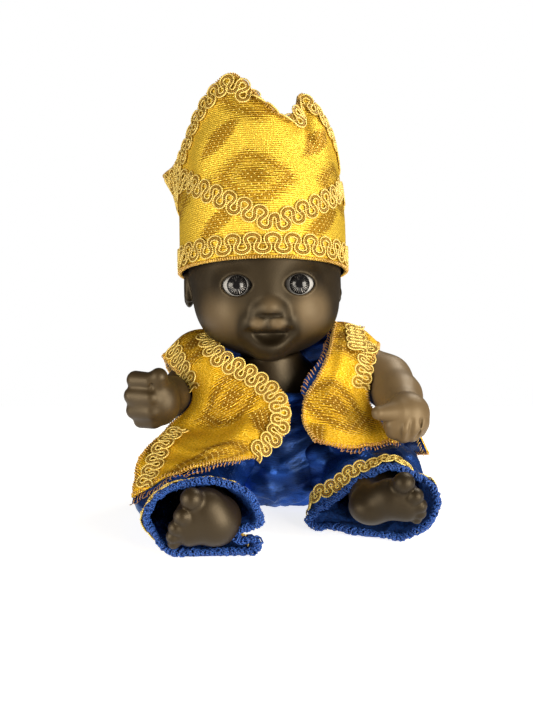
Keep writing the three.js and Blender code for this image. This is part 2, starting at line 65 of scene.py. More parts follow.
def lamp(name, place, size, watts, warmth):
    """A soft square lamp that shines at the doll."""
    light = bpy.data.lights.new(name, "AREA")
    light.energy = watts
    light.size = size
    light.color = warmth
    stand = bpy.data.objects.new(name, light)
    stand.location = place
    towards = np.array(lamp_aim) - np.array(place)
    flat = math.hypot(towards[0], towards[1])
    stand.rotation_euler = (math.atan2(flat, -towards[2]), 0, math.atan2(-towards[0], towards[1]))
    bpy.context.scene.collection.objects.link(stand)


lamp("key lamp", (0.50, -0.52, 0.13), 0.46, 9.8, (1, 0.93, 0.82))
lamp("side lamp", (-0.58, -0.40, 0.13), 0.46, 5.6, (1, 0.92, 0.80))
lamp("top lamp", (0.42, 0.34, 0.74), 0.4, 5.6, (1, 0.95, 0.86))

white = (1, 1, 1, 1)
booth = bpy.data.worlds.new("booth")
booth.use_nodes = True
booth_tree = booth.node_tree
soft_light = booth_tree.nodes["Background"]
soft_light.inputs["Color"].default_value = white
soft_light.inputs["Strength"].default_value = 0.09
white_paper = booth_tree.nodes.new("ShaderNodeBackground")
white_paper.inputs["Color"].default_value = white
seen = booth_tree.nodes.new("ShaderNodeLightPath")
either = booth_tree.nodes.new("ShaderNodeMixShader")
backdrops = (seen.outputs["Is Camera Ray"], soft_light.outputs[0], white_paper.outputs[0])
for k, source in enumerate(backdrops):
    booth_tree.links.new(source, either.inputs[k])
booth_tree.links.new(either.outputs[0], booth_tree.nodes["World Output"].inputs[0])
bpy.context.scene.world = booth

table_reach = 0.24
table_mesh = bpy.data.meshes.new("table top")
table_corners = [(-1, -1, 0), (1, -1, 0), (1, 1, 0), (-1, 1, 0)]
table_mesh.from_pydata((table_reach * np.array(table_corners)).tolist(), [], [(0, 1, 2, 3)])
table_top = bpy.data.objects.new("table_top", table_mesh)
bpy.context.scene.collection.objects.link(table_top)
table_paint = bpy.data.materials.new("table paint")
table_paint.use_nodes = True
paint = table_paint.node_tree.nodes["Principled BSDF"].inputs
paint["Base Color"].default_value = (0.55, 0.55, 0.55, 1)
paint["Roughness"].default_value = 0.9
paint["Emission Color"].default_value = white
paint["Emission Strength"].default_value = 0.80
table_mesh.materials.append(table_paint)

# Head
# One hollow moulding of dark brown vinyl with full cheeks, a button nose, an open mouth and moulded
# ears. It is a little matt, and plugs into the neck of the torso.


class Wire:
    """A socket of a node tree, written in sums and products."""

    def __init__(self, tree, socket):
        self.tree = tree
        self.socket = socket

    def node(self, kind, settings=None, inputs=None, output=0):
        return add_node(self.tree, kind, settings, inputs, output)

    def maths(self, operation, *others):
        return self.node("ShaderNodeMath", {"operation": operation}, dict(enumerate((self, *others))))

    def vector_maths(self, operation, *others, output=0):
        inputs = dict(enumerate((self, *others)))
        return self.node("ShaderNodeVectorMath", {"operation": operation}, inputs, output)

    def __add__(self, other):
        return self.maths("ADD", other)

    def __sub__(self, other):
        return self.maths("SUBTRACT", other)

    def __mul__(self, other):
        return self.maths("MULTIPLY", other)

    def __truediv__(self, other):
        return self.maths("DIVIDE", other)

    def __pow__(self, other):
        return self.maths("POWER", other)

    def __rsub__(self, other):
        return self.node("ShaderNodeMath", {"operation": "SUBTRACT"}, {0: other, 1: self})

    __radd__ = __add__
    __rmul__ = __mul__

    def wave(self, length):
        """A sine wave that repeats after length."""
        return (self * (2 * math.pi / length)).maths("SINE")

    def parts(self):
        """The x, y and z of a vector."""
        return [self.node("ShaderNodeSeparateXYZ", None, {0: self}, k) for k in range(3)]

    def band(self, low, high):
        """0 below low, 1 above high and smooth between."""
        settings = {"interpolation_type": "SMOOTHSTEP"}
        return self.node("ShaderNodeMapRange", settings, {0: self, 1: low, 2: high, 3: 0.0, 4: 1.0})

    def between(self, colour_a, colour_b):
        """colour_a where this is 0 and colour_b where it is 1."""
        return self.node("ShaderNodeMix", {"data_type": "RGBA"}, {0: self, 6: colour_a, 7: colour_b}, 2)


def add_node(tree, kind, settings=None, inputs=None, output=0):
    """A new node: its settings are made first, then its inputs are set or linked."""
    made = tree.nodes.new(kind)
    for name, value in (settings or {}).items():
        setattr(made, name, value)
    for place, value in (inputs or {}).items():
        socket = made.inputs[place]
        if isinstance(value, Wire):
            tree.links.new(value.socket, socket)
        elif isinstance(value, tuple) and len(value) == 3 and socket.type == "RGBA":
            socket.default_value = (*value, 1)
        else:
            socket.default_value = value
    return Wire(tree, made.outputs[output]) if made.outputs else made


def new_finish(name, **constants):
    """A material and its tree. The constants are the shader's own plain values."""
    finish = bpy.data.materials.new(name)
    finish.use_nodes = True
    shader = finish.node_tree.nodes["Principled BSDF"]
    for socket, value in constants.items():
        shader.inputs[socket.replace("_", " ")].default_value = value
    return finish


def set_looks(finish, looks):
    """Links what changes over the surface to the shader."""
    shader = finish.node_tree.nodes["Principled BSDF"]
    for name, wire in looks.items():
        finish.node_tree.links.new(wire.socket, shader.inputs[name])


def texture_point(tree, scale=(1, 1, 1), source="Object"):
    """The place on the piece in metres, times scale."""
    place = add_node(tree, "ShaderNodeTexCoord", None, None, source)
    return place.node("ShaderNodeMapping", None, {"Vector": place, "Scale": scale})


def noise(point, scale, detail, dimensions="3D"):
    """Cloudy noise from 0 to 1."""
    inputs = {"Vector": point, "Scale": scale, "Detail": detail}
    return point.node("ShaderNodeTexNoise", {"noise_dimensions": dimensions}, inputs)


def grain(point, size, detail=2.0):
    """Noise with lumps of about size metres."""
    return noise(point, 1 / size, detail)


def relief(height, depth):
    """A normal raised by depth metres where height is 1."""
    return height.node("ShaderNodeBump", None, {"Height": height, "Distance": depth, "Strength": 1.0})


def vinyl_finish(name, dark, pale, spots=(), matt=0.50, gloss=0.55):
    """Dark vinyl, paler or darker in each spot (middle and half sizes in mm): painted light and shade."""
    finish = new_finish(name, IOR=1.46, Specular_IOR_Level=gloss, Specular_Tint=(1.0, 0.82, 0.56, 1))
    point = texture_point(finish.node_tree)
    tone = 0.1 * grain(point, 0.018).band(0.3, 0.7)
    for middle, half_sizes, share in spots:
        scale = tuple(1000 / half for half in half_sizes)
        spot = point.node("ShaderNodeMapping", None, {"Vector": point, "Scale": scale})
        spot_middle = tuple(m / h for m, h in zip(middle, half_sizes))
        away = spot.vector_maths("DISTANCE", spot_middle, output="Value")
        tone = tone + share * (1 - away.band(0.1, 1.0))
    pores = grain(point, 0.0007, 1.0)
    set_looks(finish, {
        "Base Color": tone.between(dark, pale),
        "Roughness": matt + 0.06 * grain(point, 0.006) + 0.04 * pores,
        "Normal": relief(pores, 0.00003),
    })
    return finish


brown_vinyl = vinyl_finish("brown vinyl", (0.014, 0.0084, 0.0034), (0.030, 0.0180, 0.0070), matt=0.41)


def length_of(v):
    return np.sqrt((v * v).sum(-1))


def unit(v):
    """Vectors with their length made 1."""
    return v / np.maximum(length_of(v), 1e-9)[..., None]


def ellipsoid(p, at, radii):
    """Roughly how far each point is outside an ellipsoid."""
    q = p - np.asarray(at, p.dtype)
    r = np.asarray(radii, p.dtype)
    k = length_of(q / r)
    return k * (k - 1) / np.maximum(length_of(q / (r * r)), 1e-6)


def capsule(p, a, b):
    """How far each point is outside two balls [x, y, z, radius] and the cone between them."""
    a, b = np.asarray(a, p.dtype), np.asarray(b, p.dtype)
    along = b[:3] - a[:3]
    t = np.clip((p - a[:3]) @ along / (along @ along), 0, 1)
    return length_of(p - a[:3] - t[:, None] * along) - (a[3] + t * (b[3] - a[3]))


def joined(a, b, soft):
    """Two fields as one body, with a fillet of about soft."""
    h = np.maximum(soft - np.abs(a - b), 0) / soft
    return np.minimum(a, b) - h * h * soft / 4


def fused(parts, soft):
    """Several fields as one body, joined one after another."""
    return functools.reduce(lambda body, part: joined(body, part, soft), parts)


def carved(a, b, soft):
    """The first field with the second taken out of it."""
    return -joined(-a, b, soft)


def slope_of(field, points, value, probe):
    """How much the field rises along x, y and z at each point, where it has the value."""
    return np.stack([(field(points + probe * axis) - value) / probe for axis in np.eye(3)], -1)


def pulled_to(field, points, step, rounds):
    """Points moved onto the field's zero level."""
    for _ in range(rounds):
        value = field(points)
        slope = slope_of(field, points, value, 0.02)
        move = slope * (value / np.maximum((slope * slope).sum(-1), 0.2))[:, None]
        points = points - np.clip(move, -step, step)
    return points


def moulded(field, low, high, step):
    """A closed quad mesh over a field's zero level: points and faces."""
    axes = [np.arange(a, b + step, step) for a, b in zip(low, high)]
    skip = 4
    rough = np.stack(np.meshgrid(*[axis[::skip] for axis in axes], indexing="ij"), -1)
    rough_values = field(rough.reshape(-1, 3)).reshape(rough.shape[:3])
    near = [np.minimum(np.rint(np.arange(len(axis)) / skip).astype(int), n - 1)
            for axis, n in zip(axes, rough.shape)]
    values = rough_values[np.ix_(*near)]
    close = np.abs(values) < 2.2 * skip * step
    places = np.argwhere(close)
    points = np.stack([axis[places[:, k]] for k, axis in enumerate(axes)], -1)
    values[close] = field(points)
    inside = values < 0
    cells = [slice(None, -1), slice(1, None)]
    corner_counts = sum(
        inside[cells[i], cells[j], cells[k]].astype(np.int8) for i in (0, 1) for j in (0, 1) for k in (0, 1)
    )
    active = np.argwhere((corner_counts > 0) & (corner_counts < 8))
    number = np.full(corner_counts.shape, -1)
    number[tuple(active.T)] = np.arange(len(active))
    total = np.zeros((len(active), 3))
    count = np.zeros(len(active))
    for axis in range(3):
        others = [k for k in range(3) if k != axis]
        for i in (0, 1):
            for j in (0, 1):
                start = active.copy()
                start[:, others[0]] += i
                start[:, others[1]] += j
                end = start.copy()
                end[:, axis] += 1
                a, b = values[tuple(start.T)], values[tuple(end.T)]
                crosses = (a < 0) != (b < 0)
                t = np.where(crosses, a / np.where(crosses, a - b, 1), 0)
                place = start.astype(float)
                place[:, axis] += t
                total += place * crosses[:, None]
                count += crosses
    corners = np.array([axis[0] for axis in axes]) + total / count[:, None] * step
    faces = []
    for axis in range(3):
        second, third = (axis + 1) % 3, (axis + 2) % 3
        lower, upper = [slice(None)] * 3, [slice(None)] * 3
        lower[axis], upper[axis] = slice(None, -1), slice(1, None)
        edges = np.argwhere(inside[tuple(lower)] != inside[tuple(upper)])
        ring = []
        for da, db in ((-1, -1), (0, -1), (0, 0), (-1, 0)):
            cell = edges.copy()
            cell[:, second] += da
            cell[:, third] += db
            ring.append(number[tuple(cell.T)])
        quads = np.stack(ring, -1)
        outward = inside[tuple(edges.T)]
        quads[~outward] = quads[~outward][:, ::-1]
        faces.append(quads)
    faces = np.concatenate(faces)
    # the mesh is evened, and each time pulled back onto the surface
    for _ in range(2):
        corners = pulled_to(field, evened(corners, faces), step, 1)
    return pulled_to(field, corners, step, 2), faces


def evened(corners, faces):
    """Each point moved to the middle of its neighbours."""
    size = len(corners)
    starts, ends = faces.ravel(), np.roll(faces, -1, axis=1).ravel()
    count = np.bincount(starts, minlength=size) + np.bincount(ends, minlength=size)
    total = [
        np.bincount(starts, axis[ends], size) + np.bincount(ends, axis[starts], size) for axis in corners.T
    ]
    return np.stack(total, -1) / count[:, None]


def new_piece(name, corners, faces, finishes, slots=None, uv=None):
    """A smooth mesh piece from points in millimetres."""
    mesh = bpy.data.meshes.new(name)
    corners = np.asarray(corners) / 1000
    mesh.from_pydata(corners.tolist(), [], faces.tolist() if isinstance(faces, np.ndarray) else faces)
    for finish in finishes:
        mesh.materials.append(finish)
    if slots is not None:
        mesh.polygons.foreach_set("material_index", np.asarray(slots, np.int32))
    if uv is not None:
        layer = mesh.uv_layers.new(name="cloth")
        layer.data.foreach_set("uv", (np.asarray(uv) / 1000).astype(np.float32).ravel())
    mesh.shade_smooth()
    mesh.update()
    piece = bpy.data.objects.new(name, mesh)
    bpy.context.scene.collection.objects.link(piece)
    return piece


def in_place_of(node, piece):
    """Puts a piece on the one body in place of its CAD node, which it hides."""
    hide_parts(node)
    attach(piece, "root")


def turned(degrees):
    """The matrix that turns by X, Y and Z angles, the last one first."""
    x, y, z = (math.radians(angle) for angle in degrees)
    about_x = np.array([[1, 0, 0], [0, math.cos(x), -math.sin(x)], [0, math.sin(x), math.cos(x)]])
    about_y = np.array([[math.cos(y), 0, math.sin(y)], [0, 1, 0], [-math.sin(y), 0, math.cos(y)]])
    about_z = np.array([[math.cos(z), -math.sin(z), 0], [math.sin(z), math.cos(z), 0], [0, 0, 1]])
    return about_x @ about_y @ about_z


head_at = np.array([-4, 6, 110])
head_turn = turned((-5, -1.2, 1.6))
eye_places = {"right": np.array([-14.3, -28.0, -4.4]), "left": np.array([13.9, -28.0, -4.4])}
eye_radius = 7.0
socket_gap = 0.12
skull_masses = [
    ([-0.8, 2, 3], [36.6, 39, 38]),
    ([0, -3, -14], [34, 29.5, 24.5]),
    ([-13.5, -13, -16], [16.5, 20.5, 15.5]),
    ([13.5, -13, -16], [16.5, 20.5, 15.5]),
    ([0, -17, -24], [18, 17.2, 12.5]),
    ([0, -21, -32], [9, 10, 7.5]),
]


def skull(p):
    """The head without its features, in the head's own place."""
    return fused([ellipsoid(p, *mass) for mass in skull_masses], 5.0)


def eye_opening(p, eye):
    """A lens-shaped hole through the lids, pointed at the corners of the eye."""
    half_width, up, down = 7.0, 4.5, 5.0
    x, z = p[:, 0] - eye[0], p[:, 2] - eye[2]
    arcs = []
    for reach, sign in ((up, 1), (down, -1)):
        radius = (half_width**2 + reach**2) / (2 * reach)
        arcs.append(np.sqrt(x * x + (z + sign * (radius - reach)) ** 2) - radius)
    return np.maximum(-joined(-arcs[0], -arcs[1], 0.8), p[:, 1] - eye[1])


def mouth_opening(p):
    """Straight along the upper lip and round below."""
    hollow = ellipsoid(p, [0.4, -36.5, -26.4], [9.6, 9.5, 3.6])
    hollow = joined(hollow, ellipsoid(p, [0.4, -36.5, -27.8], [5.6, 8.0, 3.8]), 4.0)
    lip_line = p[:, 2] + 26.0 - 0.003 * (p[:, 0] - 0.4) ** 2
    return -joined(-hollow, -lip_line, 0.8)


def head_field(p):
    """The skull with its eyes, nose, mouth and ears."""
    body = skull(p)
    sides = np.abs(p[:, 0])
    mirrored = np.stack([sides, p[:, 1], p[:, 2]], -1)
    # soft mounds over the eyeballs
    body = joined(body, ellipsoid(mirrored, [14.1, -28.0, -4.4], [8.4, 8.2, 8.1]), 5)
    # the nose is a wide soft button with a low bridge
    body = joined(body, ellipsoid(p, [0.2, -30.2, -10.5], [3.8, 3.2, 5.6]), 9)
    body = joined(body, ellipsoid(p, [0.2, -33.0, -15.7], [5.2, 3.8, 2.8]), 5)
    body = joined(body, ellipsoid(p, [0.4, -36.0, -14.6], [3.2, 2.9, 2.7]), 4.5)
    body = joined(body, ellipsoid(mirrored, [5.0, -32.6, -16.4], [2.8, 3.0, 2.4]), 3.4)
    body = carved(body, capsule(mirrored, [0, -38.4, -19.3, 0.7], [4.8, -36.4, -19.1, 0.7]), 2.4)
    # the two swellings of the upper lip, and the groove between them
    body = joined(body, ellipsoid(mirrored, [4.6, -32.9, -22.0], [4.4, 4.0, 2.7]), 4.4)
    body = carved(body, capsule(p, [0.3, -38.8, -20.6, 1.1], [0.3, -37.8, -23.6, 1.3]), 2.4)
    # the open mouth, a shallow hollow between puffy corners
    body = carved(body, mouth_opening(p), 3.2)
    body = carved(body, capsule(mirrored, [7.4, -35.6, -26.4, 0.7], [10.2, -33.4, -27.2, 0.9]), 2.6)
    body = carved(body, capsule(mirrored, [10.2, -33.0, -27.2, 0.8], [9.6, -32.6, -30.8, 0.4]), 3.0)
    # ears: a rim, the hollow inside it and the small flap in front
    for way, out, back in ((-1, 1.4, -1.6), (1, -1.6, 3.4)):
        there = np.stack([way * p[:, 0], p[:, 1], p[:, 2]], -1) - np.array([out, back, 0])
        body = joined(body, ellipsoid(there, [36.2, 6.8, -4.6], [3.1, 6.4, 9.4]), 1.6)
        body = carved(body, ellipsoid(there, [39.4, 5.4, -4.4], [2.4, 3.9, 6.0]), 1.2)
        body = joined(body, ellipsoid(there, [36.2, 1.8, -8.6], [2.0, 1.6, 2.6]), 1.2)
    for eye in eye_places.values():
        body = carved(body, eye_opening(p, eye), 1.3)
        body = carved(body, length_of(p - eye) - (eye_radius + socket_gap), 0.15)
    return body


head_box = ((-42, -44, -46), (42, 44, 44))
head_step = 0.62
head_corners, head_faces = moulded(head_field, *head_box, head_step)
head_corners = head_corners @ head_turn.T + head_at
# The face's vinyl is painted paler on the cheeks, the nose and the swellings of the upper lip, as painted
# highlights, and darker under the nose, beside the lip and in and below the mouth, as painted shade:
# [middle, half sizes, share of the paler tone].
face_painted_light_spots = [
    ([-26, -24, 94], [17, 20, 16], 0.9),
    ([16, -24, 97], [14, 20, 15], 1.2),
    ([-2, -31, 99.8], [7, 12, 5.5], 0.9),
    ([-8.2, -31, 91.6], [5.2, 12, 3.8], 1.1),
    ([1.0, -31, 91.6], [5.2, 12, 3.8], 1.2),
    ([-2.5, -33, 94.8], [7, 9, 1.9], -0.9),
    ([-14.5, -26, 90], [5, 16, 10], -0.5),
    ([8.5, -26, 90], [5, 16, 10], -0.5),
    ([-3, -24, 82.5], [12, 20, 7.0], -1.8),
]
# Outside the spots the face is painted darker than the body's vinyl, as painted shade on the forehead and chin.
face_vinyl = vinyl_finish(
    "face vinyl with painted light", (0.006, 0.0034, 0.0010), (0.098, 0.068, 0.036), face_painted_light_spots, matt=0.46, gloss=0.44)
head = new_piece("doll_head", head_corners, head_faces, [face_vinyl])
in_place_of("head", head)

# Eyes
# Two glossy balls with a clear raised front, set into the head from inside. Each has a grey-white
# ball and a nearly black iris printed with fine pale rays.

iris_radius = 4.5
front_swell = 0.45


def eye_finish():
    """The pale ball, painted darker at the top as shade, and the rayed iris, drawn on the eye's flat front."""
    finish = new_finish("eye acrylic", IOR=1.40)
    tree = finish.node_tree
    gaze = add_node(tree, "ShaderNodeUVMap", {"uv_map": "cloth"})
    x, y, _ = [part * 1000 for part in gaze.parts()]
    reach = (x ** 2 + y ** 2) ** 0.5
    around = y.maths("ARCTAN2", x)
    ray_place = around.node("ShaderNodeCombineXYZ", None, {0: around * 2.2, 1: reach * 0.10})
    rays = noise(ray_place, 3.0, 1.0)
    spokes = (around * 26 + 5 * rays).maths("SINE").band(0.35, 0.95)
    ray_mask = spokes * rays.band(0.40, 0.60) * reach.band(1.5, 2.1) * (1 - reach.band(3.6, 4.2))
    low_half = (0 - y).band(-2.0, 1.2)
    iris = (ray_mask * (0.12 + 0.88 * low_half)).between((0.006, 0.0055, 0.006), (0.46, 0.44, 0.41))
    # The ball is painted darker towards its top, as painted shade under the upper lid.
    ball = (y - 1.2).band(0, 3.2).between((0.40, 0.395, 0.385), (0.10, 0.09, 0.08))
    rim = reach.band(iris_radius - 0.12, iris_radius + 0.14)
    set_looks(finish, {"Base Color": rim.between(iris, ball), "Roughness": 0.10 + 0.05 * rays})
    return finish


eye_acrylic = eye_finish()


def eye_piece(side, centre, gaze_degrees):
    """A ball of rings round its line of sight, swollen over the iris."""
    rings, around = 30, 40
    corners, flat = [(0, 0, 0)], [(0, 0)]
    for j in range(1, rings):
        theta = math.pi * j / rings
        swell = eye_radius + front_swell * math.exp(-((theta / 0.5) ** 4))
        for i in range(around):
            phi = 2 * math.pi * i / around
            across, up = math.sin(theta) * math.cos(phi), math.sin(theta) * math.sin(phi)
            corners.append((across * swell, -math.cos(theta) * swell, up * swell))
            spread = eye_radius * (math.sin(theta) if theta < math.pi / 2 else 1)
            flat.append((spread * math.cos(phi), spread * math.sin(phi)))
    corners[0] = (0, -eye_radius - front_swell, 0)
    corners.append((0, eye_radius, 0))
    flat.append((eye_radius, 0))
    faces = [(0, 1 + i, 1 + (i + 1) % around) for i in range(around)]
    for j in range(rings - 2):
        for i in range(around):
            a, b = 1 + j * around + i, 1 + j * around + (i + 1) % around
            faces.append((a, a + around, b + around, b))
    last = len(corners) - 1
    faces += [(last - around + (i + 1) % around, last - around + i, last) for i in range(around)]
    faces = [face[::-1] for face in faces]
    place = np.array(corners) @ turned(gaze_degrees).T + centre
    place = place @ head_turn.T + head_at
    uv = [flat[k] for face in faces for k in face]
    piece = new_piece(f"doll_{side}_eye", place, faces, [eye_acrylic], uv=uv)
    in_place_of(f"{side}_eye", piece)


for side, squint in (("right", 1.5), ("left", -1.5)):
    eye_piece(side, eye_places[side], (2, 0, squint))

# Torso
# One vinyl moulding, nearly all of it under the clothes. Its neck shows in the shade under the chin.

plug_gap = 0.5
torso_box = ((-34, -22, -2), (38, 38, 90))
torso_step = 1.3


def torso_field(p):
    """The trunk, from the chest down and up to the neck, hollowed where the head sits on it."""
    body = ellipsoid(p, [0, 9, 48], [28, 19, 26])
    body = joined(body, ellipsoid(p, [2, 8, 24], [31, 25, 21.5]), 5)
    body = joined(body, ellipsoid(p, [-2, 7, 68], [15, 15, 16]), 4)
    return carved(body, skull((p - head_at) @ head_turn) - plug_gap, 0.6)


def moulding(name, node, field, box, step, finish):
    """A piece moulded from a field inside a box of two corners."""
    piece = new_piece(name, *moulded(field, *box, step), [finish])
    in_place_of(node, piece)


moulding("doll_torso", "torso", torso_field, torso_box, torso_step, brown_vinyl)

# Arms
# One vinyl moulding each, plump, with a crease at the wrist and a half closed hand.

arms = {
    "right": {
        "limb": [[-36, 5, 65, 11.5], [-45.5, -3, 53.5, 10.5], [-49, -17, 55.5, 9.2], [-54, -26, 55.5, 9.4]],
        "palm": [([-56.6, -28, 56.6], [9.8, 9.6, 11.4]), ([-51.4, -29.4, 55.6], [8.4, 8.0, 10.6])],
        "digits": [
            [[-62.6, -30.5, 65.8, 4.2], [-56.0, -34.8, 66.2, 3.7]],
            [[-63.8, -31.0, 58.7, 4.3], [-55.4, -35.8, 58.9, 4.0]],
            [[-63.2, -30.0, 51.9, 4.2], [-55.4, -34.8, 52.2, 3.9]],
            [[-60.8, -28.5, 46.9, 3.5], [-54.8, -32.0, 47.2, 3.4]],
            [[-52.4, -30, 56.5, 5.0], [-51.8, -35.0, 68.0, 4.0]],
        ],
        "digit_fillet": 1.9,
        "wrist_fillet": 3.0,
        "creases": [
            ([-54.4, -36.0, 69.6, 0.25], [-55.0, -38.5, 62.0, 0.25]),
        ],
        "box": ((-72, -45, 40), (-22, 20, 80)),
    },
    "left": {
        "limb": [[37, 5, 68, 11.5], [53, -3.5, 61, 12.2], [57, -18, 56, 10.8], [57.5, -27, 53, 9.8]],
        "palm": [([58.6, -35.4, 51.2], [10.2, 9.4, 10.0]), ([57.2, -37.0, 46.0], [8.8, 7.4, 6.4])],
        "digits": [
            [[51.6, -40.5, 47.6, 3.6], [52.0, -40.0, 44.0, 3.2]],
            [[56.2, -42.0, 46.4, 3.8], [56.2, -40.6, 42.6, 3.3]],
            [[61.0, -41.0, 46.4, 3.5], [60.2, -39.6, 42.8, 3.1]],
            [[64.6, -38.4, 47.4, 3.2], [63.8, -37.2, 44.2, 2.8]],
            [[54.0, -39.5, 53.0, 5.6], [45.0, -42.8, 53.2, 3.1]],
        ],
        "digit_fillet": 0.8,
        "wrist_fillet": 1.0,
        "creases": [
            ([59.6, -45.4, 50.4, 0.4], [58.2, -44.6, 41.6, 0.6]),
            ([63.8, -43.0, 50.0, 0.4], [62.2, -42.4, 42.2, 0.6]),
            ([54.6, -45.4, 48.6, 0.3], [54.0, -44.4, 42.2, 0.5]),
        ],
        "box": ((22, -52, 34), (74, 20, 84)),
    },
}


def limb_parts(p, limb):
    """The bones of a limb, from ball to ball."""
    return [capsule(p, a, b) for a, b in zip(limb, limb[1:])]


def arm_field(arm):
    """The field of an arm: its limb, its palm and its fingers."""
    def field(p):
        body = fused(limb_parts(p, arm["limb"]), 2.5)
        hand = fused([ellipsoid(p, *mass) for mass in arm["palm"]], 4)
        digits = fused([capsule(p, a, b) for a, b in arm["digits"]], arm["digit_fillet"])
        hand = joined(hand, digits, 1.8)
        for a, b in arm["creases"]:
            hand = carved(hand, capsule(p, a, b), 1.6)
        body = joined(body, hand, arm["wrist_fillet"])
        return carved(body, torso_field(p) - plug_gap, 0.5)
    return field


# Each arm's vinyl is painted paler than the body's, as painted light; the left, on the key lamp's side, most.
arm_vinyl_painted_light = {
    "right": vinyl_finish("right arm vinyl, painted light", (0.030, 0.0190, 0.0080), (0.050, 0.033, 0.015), matt=0.43),
    "left": vinyl_finish("left arm vinyl, painted light", (0.100, 0.066, 0.031), (0.165, 0.114, 0.060), matt=0.42),
}
arm_step = 0.55
for side, arm in arms.items():
    moulding(f"doll_{side}_arm", f"{side}_arm", arm_field(arm), arm["box"], arm_step, arm_vinyl_painted_light[side])

# Legs
# One vinyl moulding each, folded outwards so that the sole faces forwards with the big toe on top.
# Only the feet show, out of the trouser cuffs.

legs = {
    "right": {
        "limb": [[-18, 2, 24, 12], [-43, -24, 20.5, 12], [-30, -60, 15.5, 9.8], [-24, -72, 15.5, 9.5]],
        "sole": [
            ([-24.8, -76, 14.0], [9.4, 9.0, 9.4]), ([-29.2, -77.6, 18.2], [10.8, 8.2, 11.4]),
            ([-35.4, -78.5, 14.0], [6.6, 6.8, 8.6]),
        ],
        "toes": [
            [-33.9, -82.5, 26.2, 4.7], [-37.5, -83, 19.2, 3.9], [-40.2, -82.5, 14.3, 3.4],
            [-41.6, -81.5, 10.4, 3.0], [-41.6, -80, 7.2, 2.6],
        ],
        "box": ((-60, -92, -2), (-2, 18, 42)),
    },
    "left": {
        "limb": [[20, 2, 24, 12], [45, -18, 20.5, 12], [43, -48, 18, 10.5], [41, -60, 18, 9.0]],
        "sole": [
            ([39.6, -64.0, 17.2], [9.0, 8.8, 7.0]), ([48.6, -67, 21.6], [10.6, 8.6, 8.8]),
            ([54.6, -68.6, 20.6], [6.0, 6.6, 7.8]),
        ],
        "toes": [
            [52.2, -73.5, 30.4, 4.5], [56.9, -73, 24.6, 3.6], [59.0, -72, 20.3, 3.2],
            [59.4, -70.5, 16.8, 2.8], [58.4, -69, 14.0, 2.4],
        ],
        "box": ((4, -84, 0), (68, 18, 42)),
    },
}


def leg_field(leg):
    """The field of a leg: its limb, the sole and the toes, which grow out of the ball of the foot."""
    ball = leg["sole"][1][0]

    def field(p):
        body = fused(limb_parts(p, leg["limb"]) + [ellipsoid(p, *mass) for mass in leg["sole"]], 3)
        toes = []
        for toe in leg["toes"]:
            root = [0.6 * toe[0] + 0.4 * ball[0], toe[1] + 4, 0.6 * toe[2] + 0.4 * ball[2], toe[3]]
            toes.append(capsule(p, root, toe))
        body = joined(body, fused(toes, 0.5), 1.3)
        return carved(body, torso_field(p) - plug_gap, 0.5)
    return field


# The left leg's vinyl is painted darker than the right's, as painted shade on that foot.
left_leg_painted_shade_vinyl = vinyl_finish(
    "left leg vinyl in painted shade", (0.009, 0.0055, 0.0024), (0.018, 0.0110, 0.0044), matt=0.44, gloss=0.40)
leg_vinyl = {"right": brown_vinyl, "left": left_leg_painted_shade_vinyl}
leg_step = 0.70
for side, leg in legs.items():
    moulding(f"doll_{side}_leg", f"{side}_leg", leg_field(leg), leg["box"], leg_step, leg_vinyl[side])

# Trousers
# One garment of royal blue satin with two wide legs, gathered at the cuffs and creased where the doll
# is folded at the hips. Each cuff's edge is overlocked with thick blue yarn.


def through(points, t):
    """A smooth curve through points, at each t from 0 to 1."""
    points = np.asarray(points, float)
    padded = np.concatenate([2 * points[:1] - points[1:2], points, 2 * points[-1:] - points[-2:-1]])
    place = np.clip(t, 0, 1) * (len(points) - 1)
    start = np.minimum(place.astype(int), len(points) - 2)
    w = (place - start).reshape((-1,) + (1,) * (points.ndim - 1))
    a, b, c, d = (padded[start + k] for k in range(4))
    ab, bc, cd = (np.maximum(((q - p) ** 2).sum(-1, keepdims=True), 1e-8) ** 0.25
                  for p, q in ((a, b), (b, c), (c, d)))
    leave = bc * ((b - a) / ab - (c - a) / (ab + bc) + (c - b) / bc)
    arrive = bc * ((c - b) / bc - (d - b) / (bc + cd) + (d - c) / cd)
    return b + w * (leave + w * (3 * (c - b) - 2 * leave - arrive + w * (2 * (b - c) + leave + arrive)))


def round_through(points, t):
    """The same, round a closed ring of points."""
    points = np.asarray(points, float)
    n = len(points)
    wrapped = np.concatenate([points[-3:], points, points[:4]])
    return through(wrapped, (3 + (t % 1) * n) / (n + 6))


def facing(grid, wraps=False):
    """The unit normals of a grid of points [row][column]."""
    if wraps:
        across = np.roll(grid, -1, axis=1) - np.roll(grid, 1, axis=1)
    else:
        across = np.gradient(grid, axis=1)
    return unit(np.cross(across, np.gradient(grid, axis=0)))


def outwards(grid, middle, wraps=False):
    """The same normals, turned so that they point away from the middle."""
    normal = facing(grid, wraps)
    return normal * np.sign(((grid - middle) * normal).sum())


def random_ways(seed, count, spread, stretch=(1, 1, 1)):
    """Random directions, each with a length of about 1 and a random start from 0 to 1."""
    chance = np.random.default_rng(seed)
    for _ in range(count):
        way = chance.normal(size=3)
        length = 1 - spread + 2 * spread * chance.random()
        yield way / np.linalg.norm(way) / np.asarray(stretch) * length, chance.random()


def ripples(grid, seed, size, stretch=(1, 1, 1)):
    """Soft random waves from about -1 to 1, with lumps of about size millimetres."""
    count = 14
    total = np.zeros(grid.shape[:2])
    for way, start in random_ways(seed, count, 0.3, stretch):
        total += np.sin(grid @ way * (2 * math.pi / size) + start * 2 * math.pi)
    return total / math.sqrt(count)


def creases(grid, seed, size):
    """Random sharp creases with smooth puffs between them, from about -1 to 1."""
    count, mean = 9, 1.27
    total = np.zeros(grid.shape[:2])
    for way, start in random_ways(seed, count, 0.4):
        bend = 0.7 * np.sin(grid @ np.roll(way, 1) * (3.1 / size))
        total += mean - 2 * np.abs(np.cos(grid @ way * (math.pi / size) + bend + start * math.pi))
    return -total / math.sqrt(count)


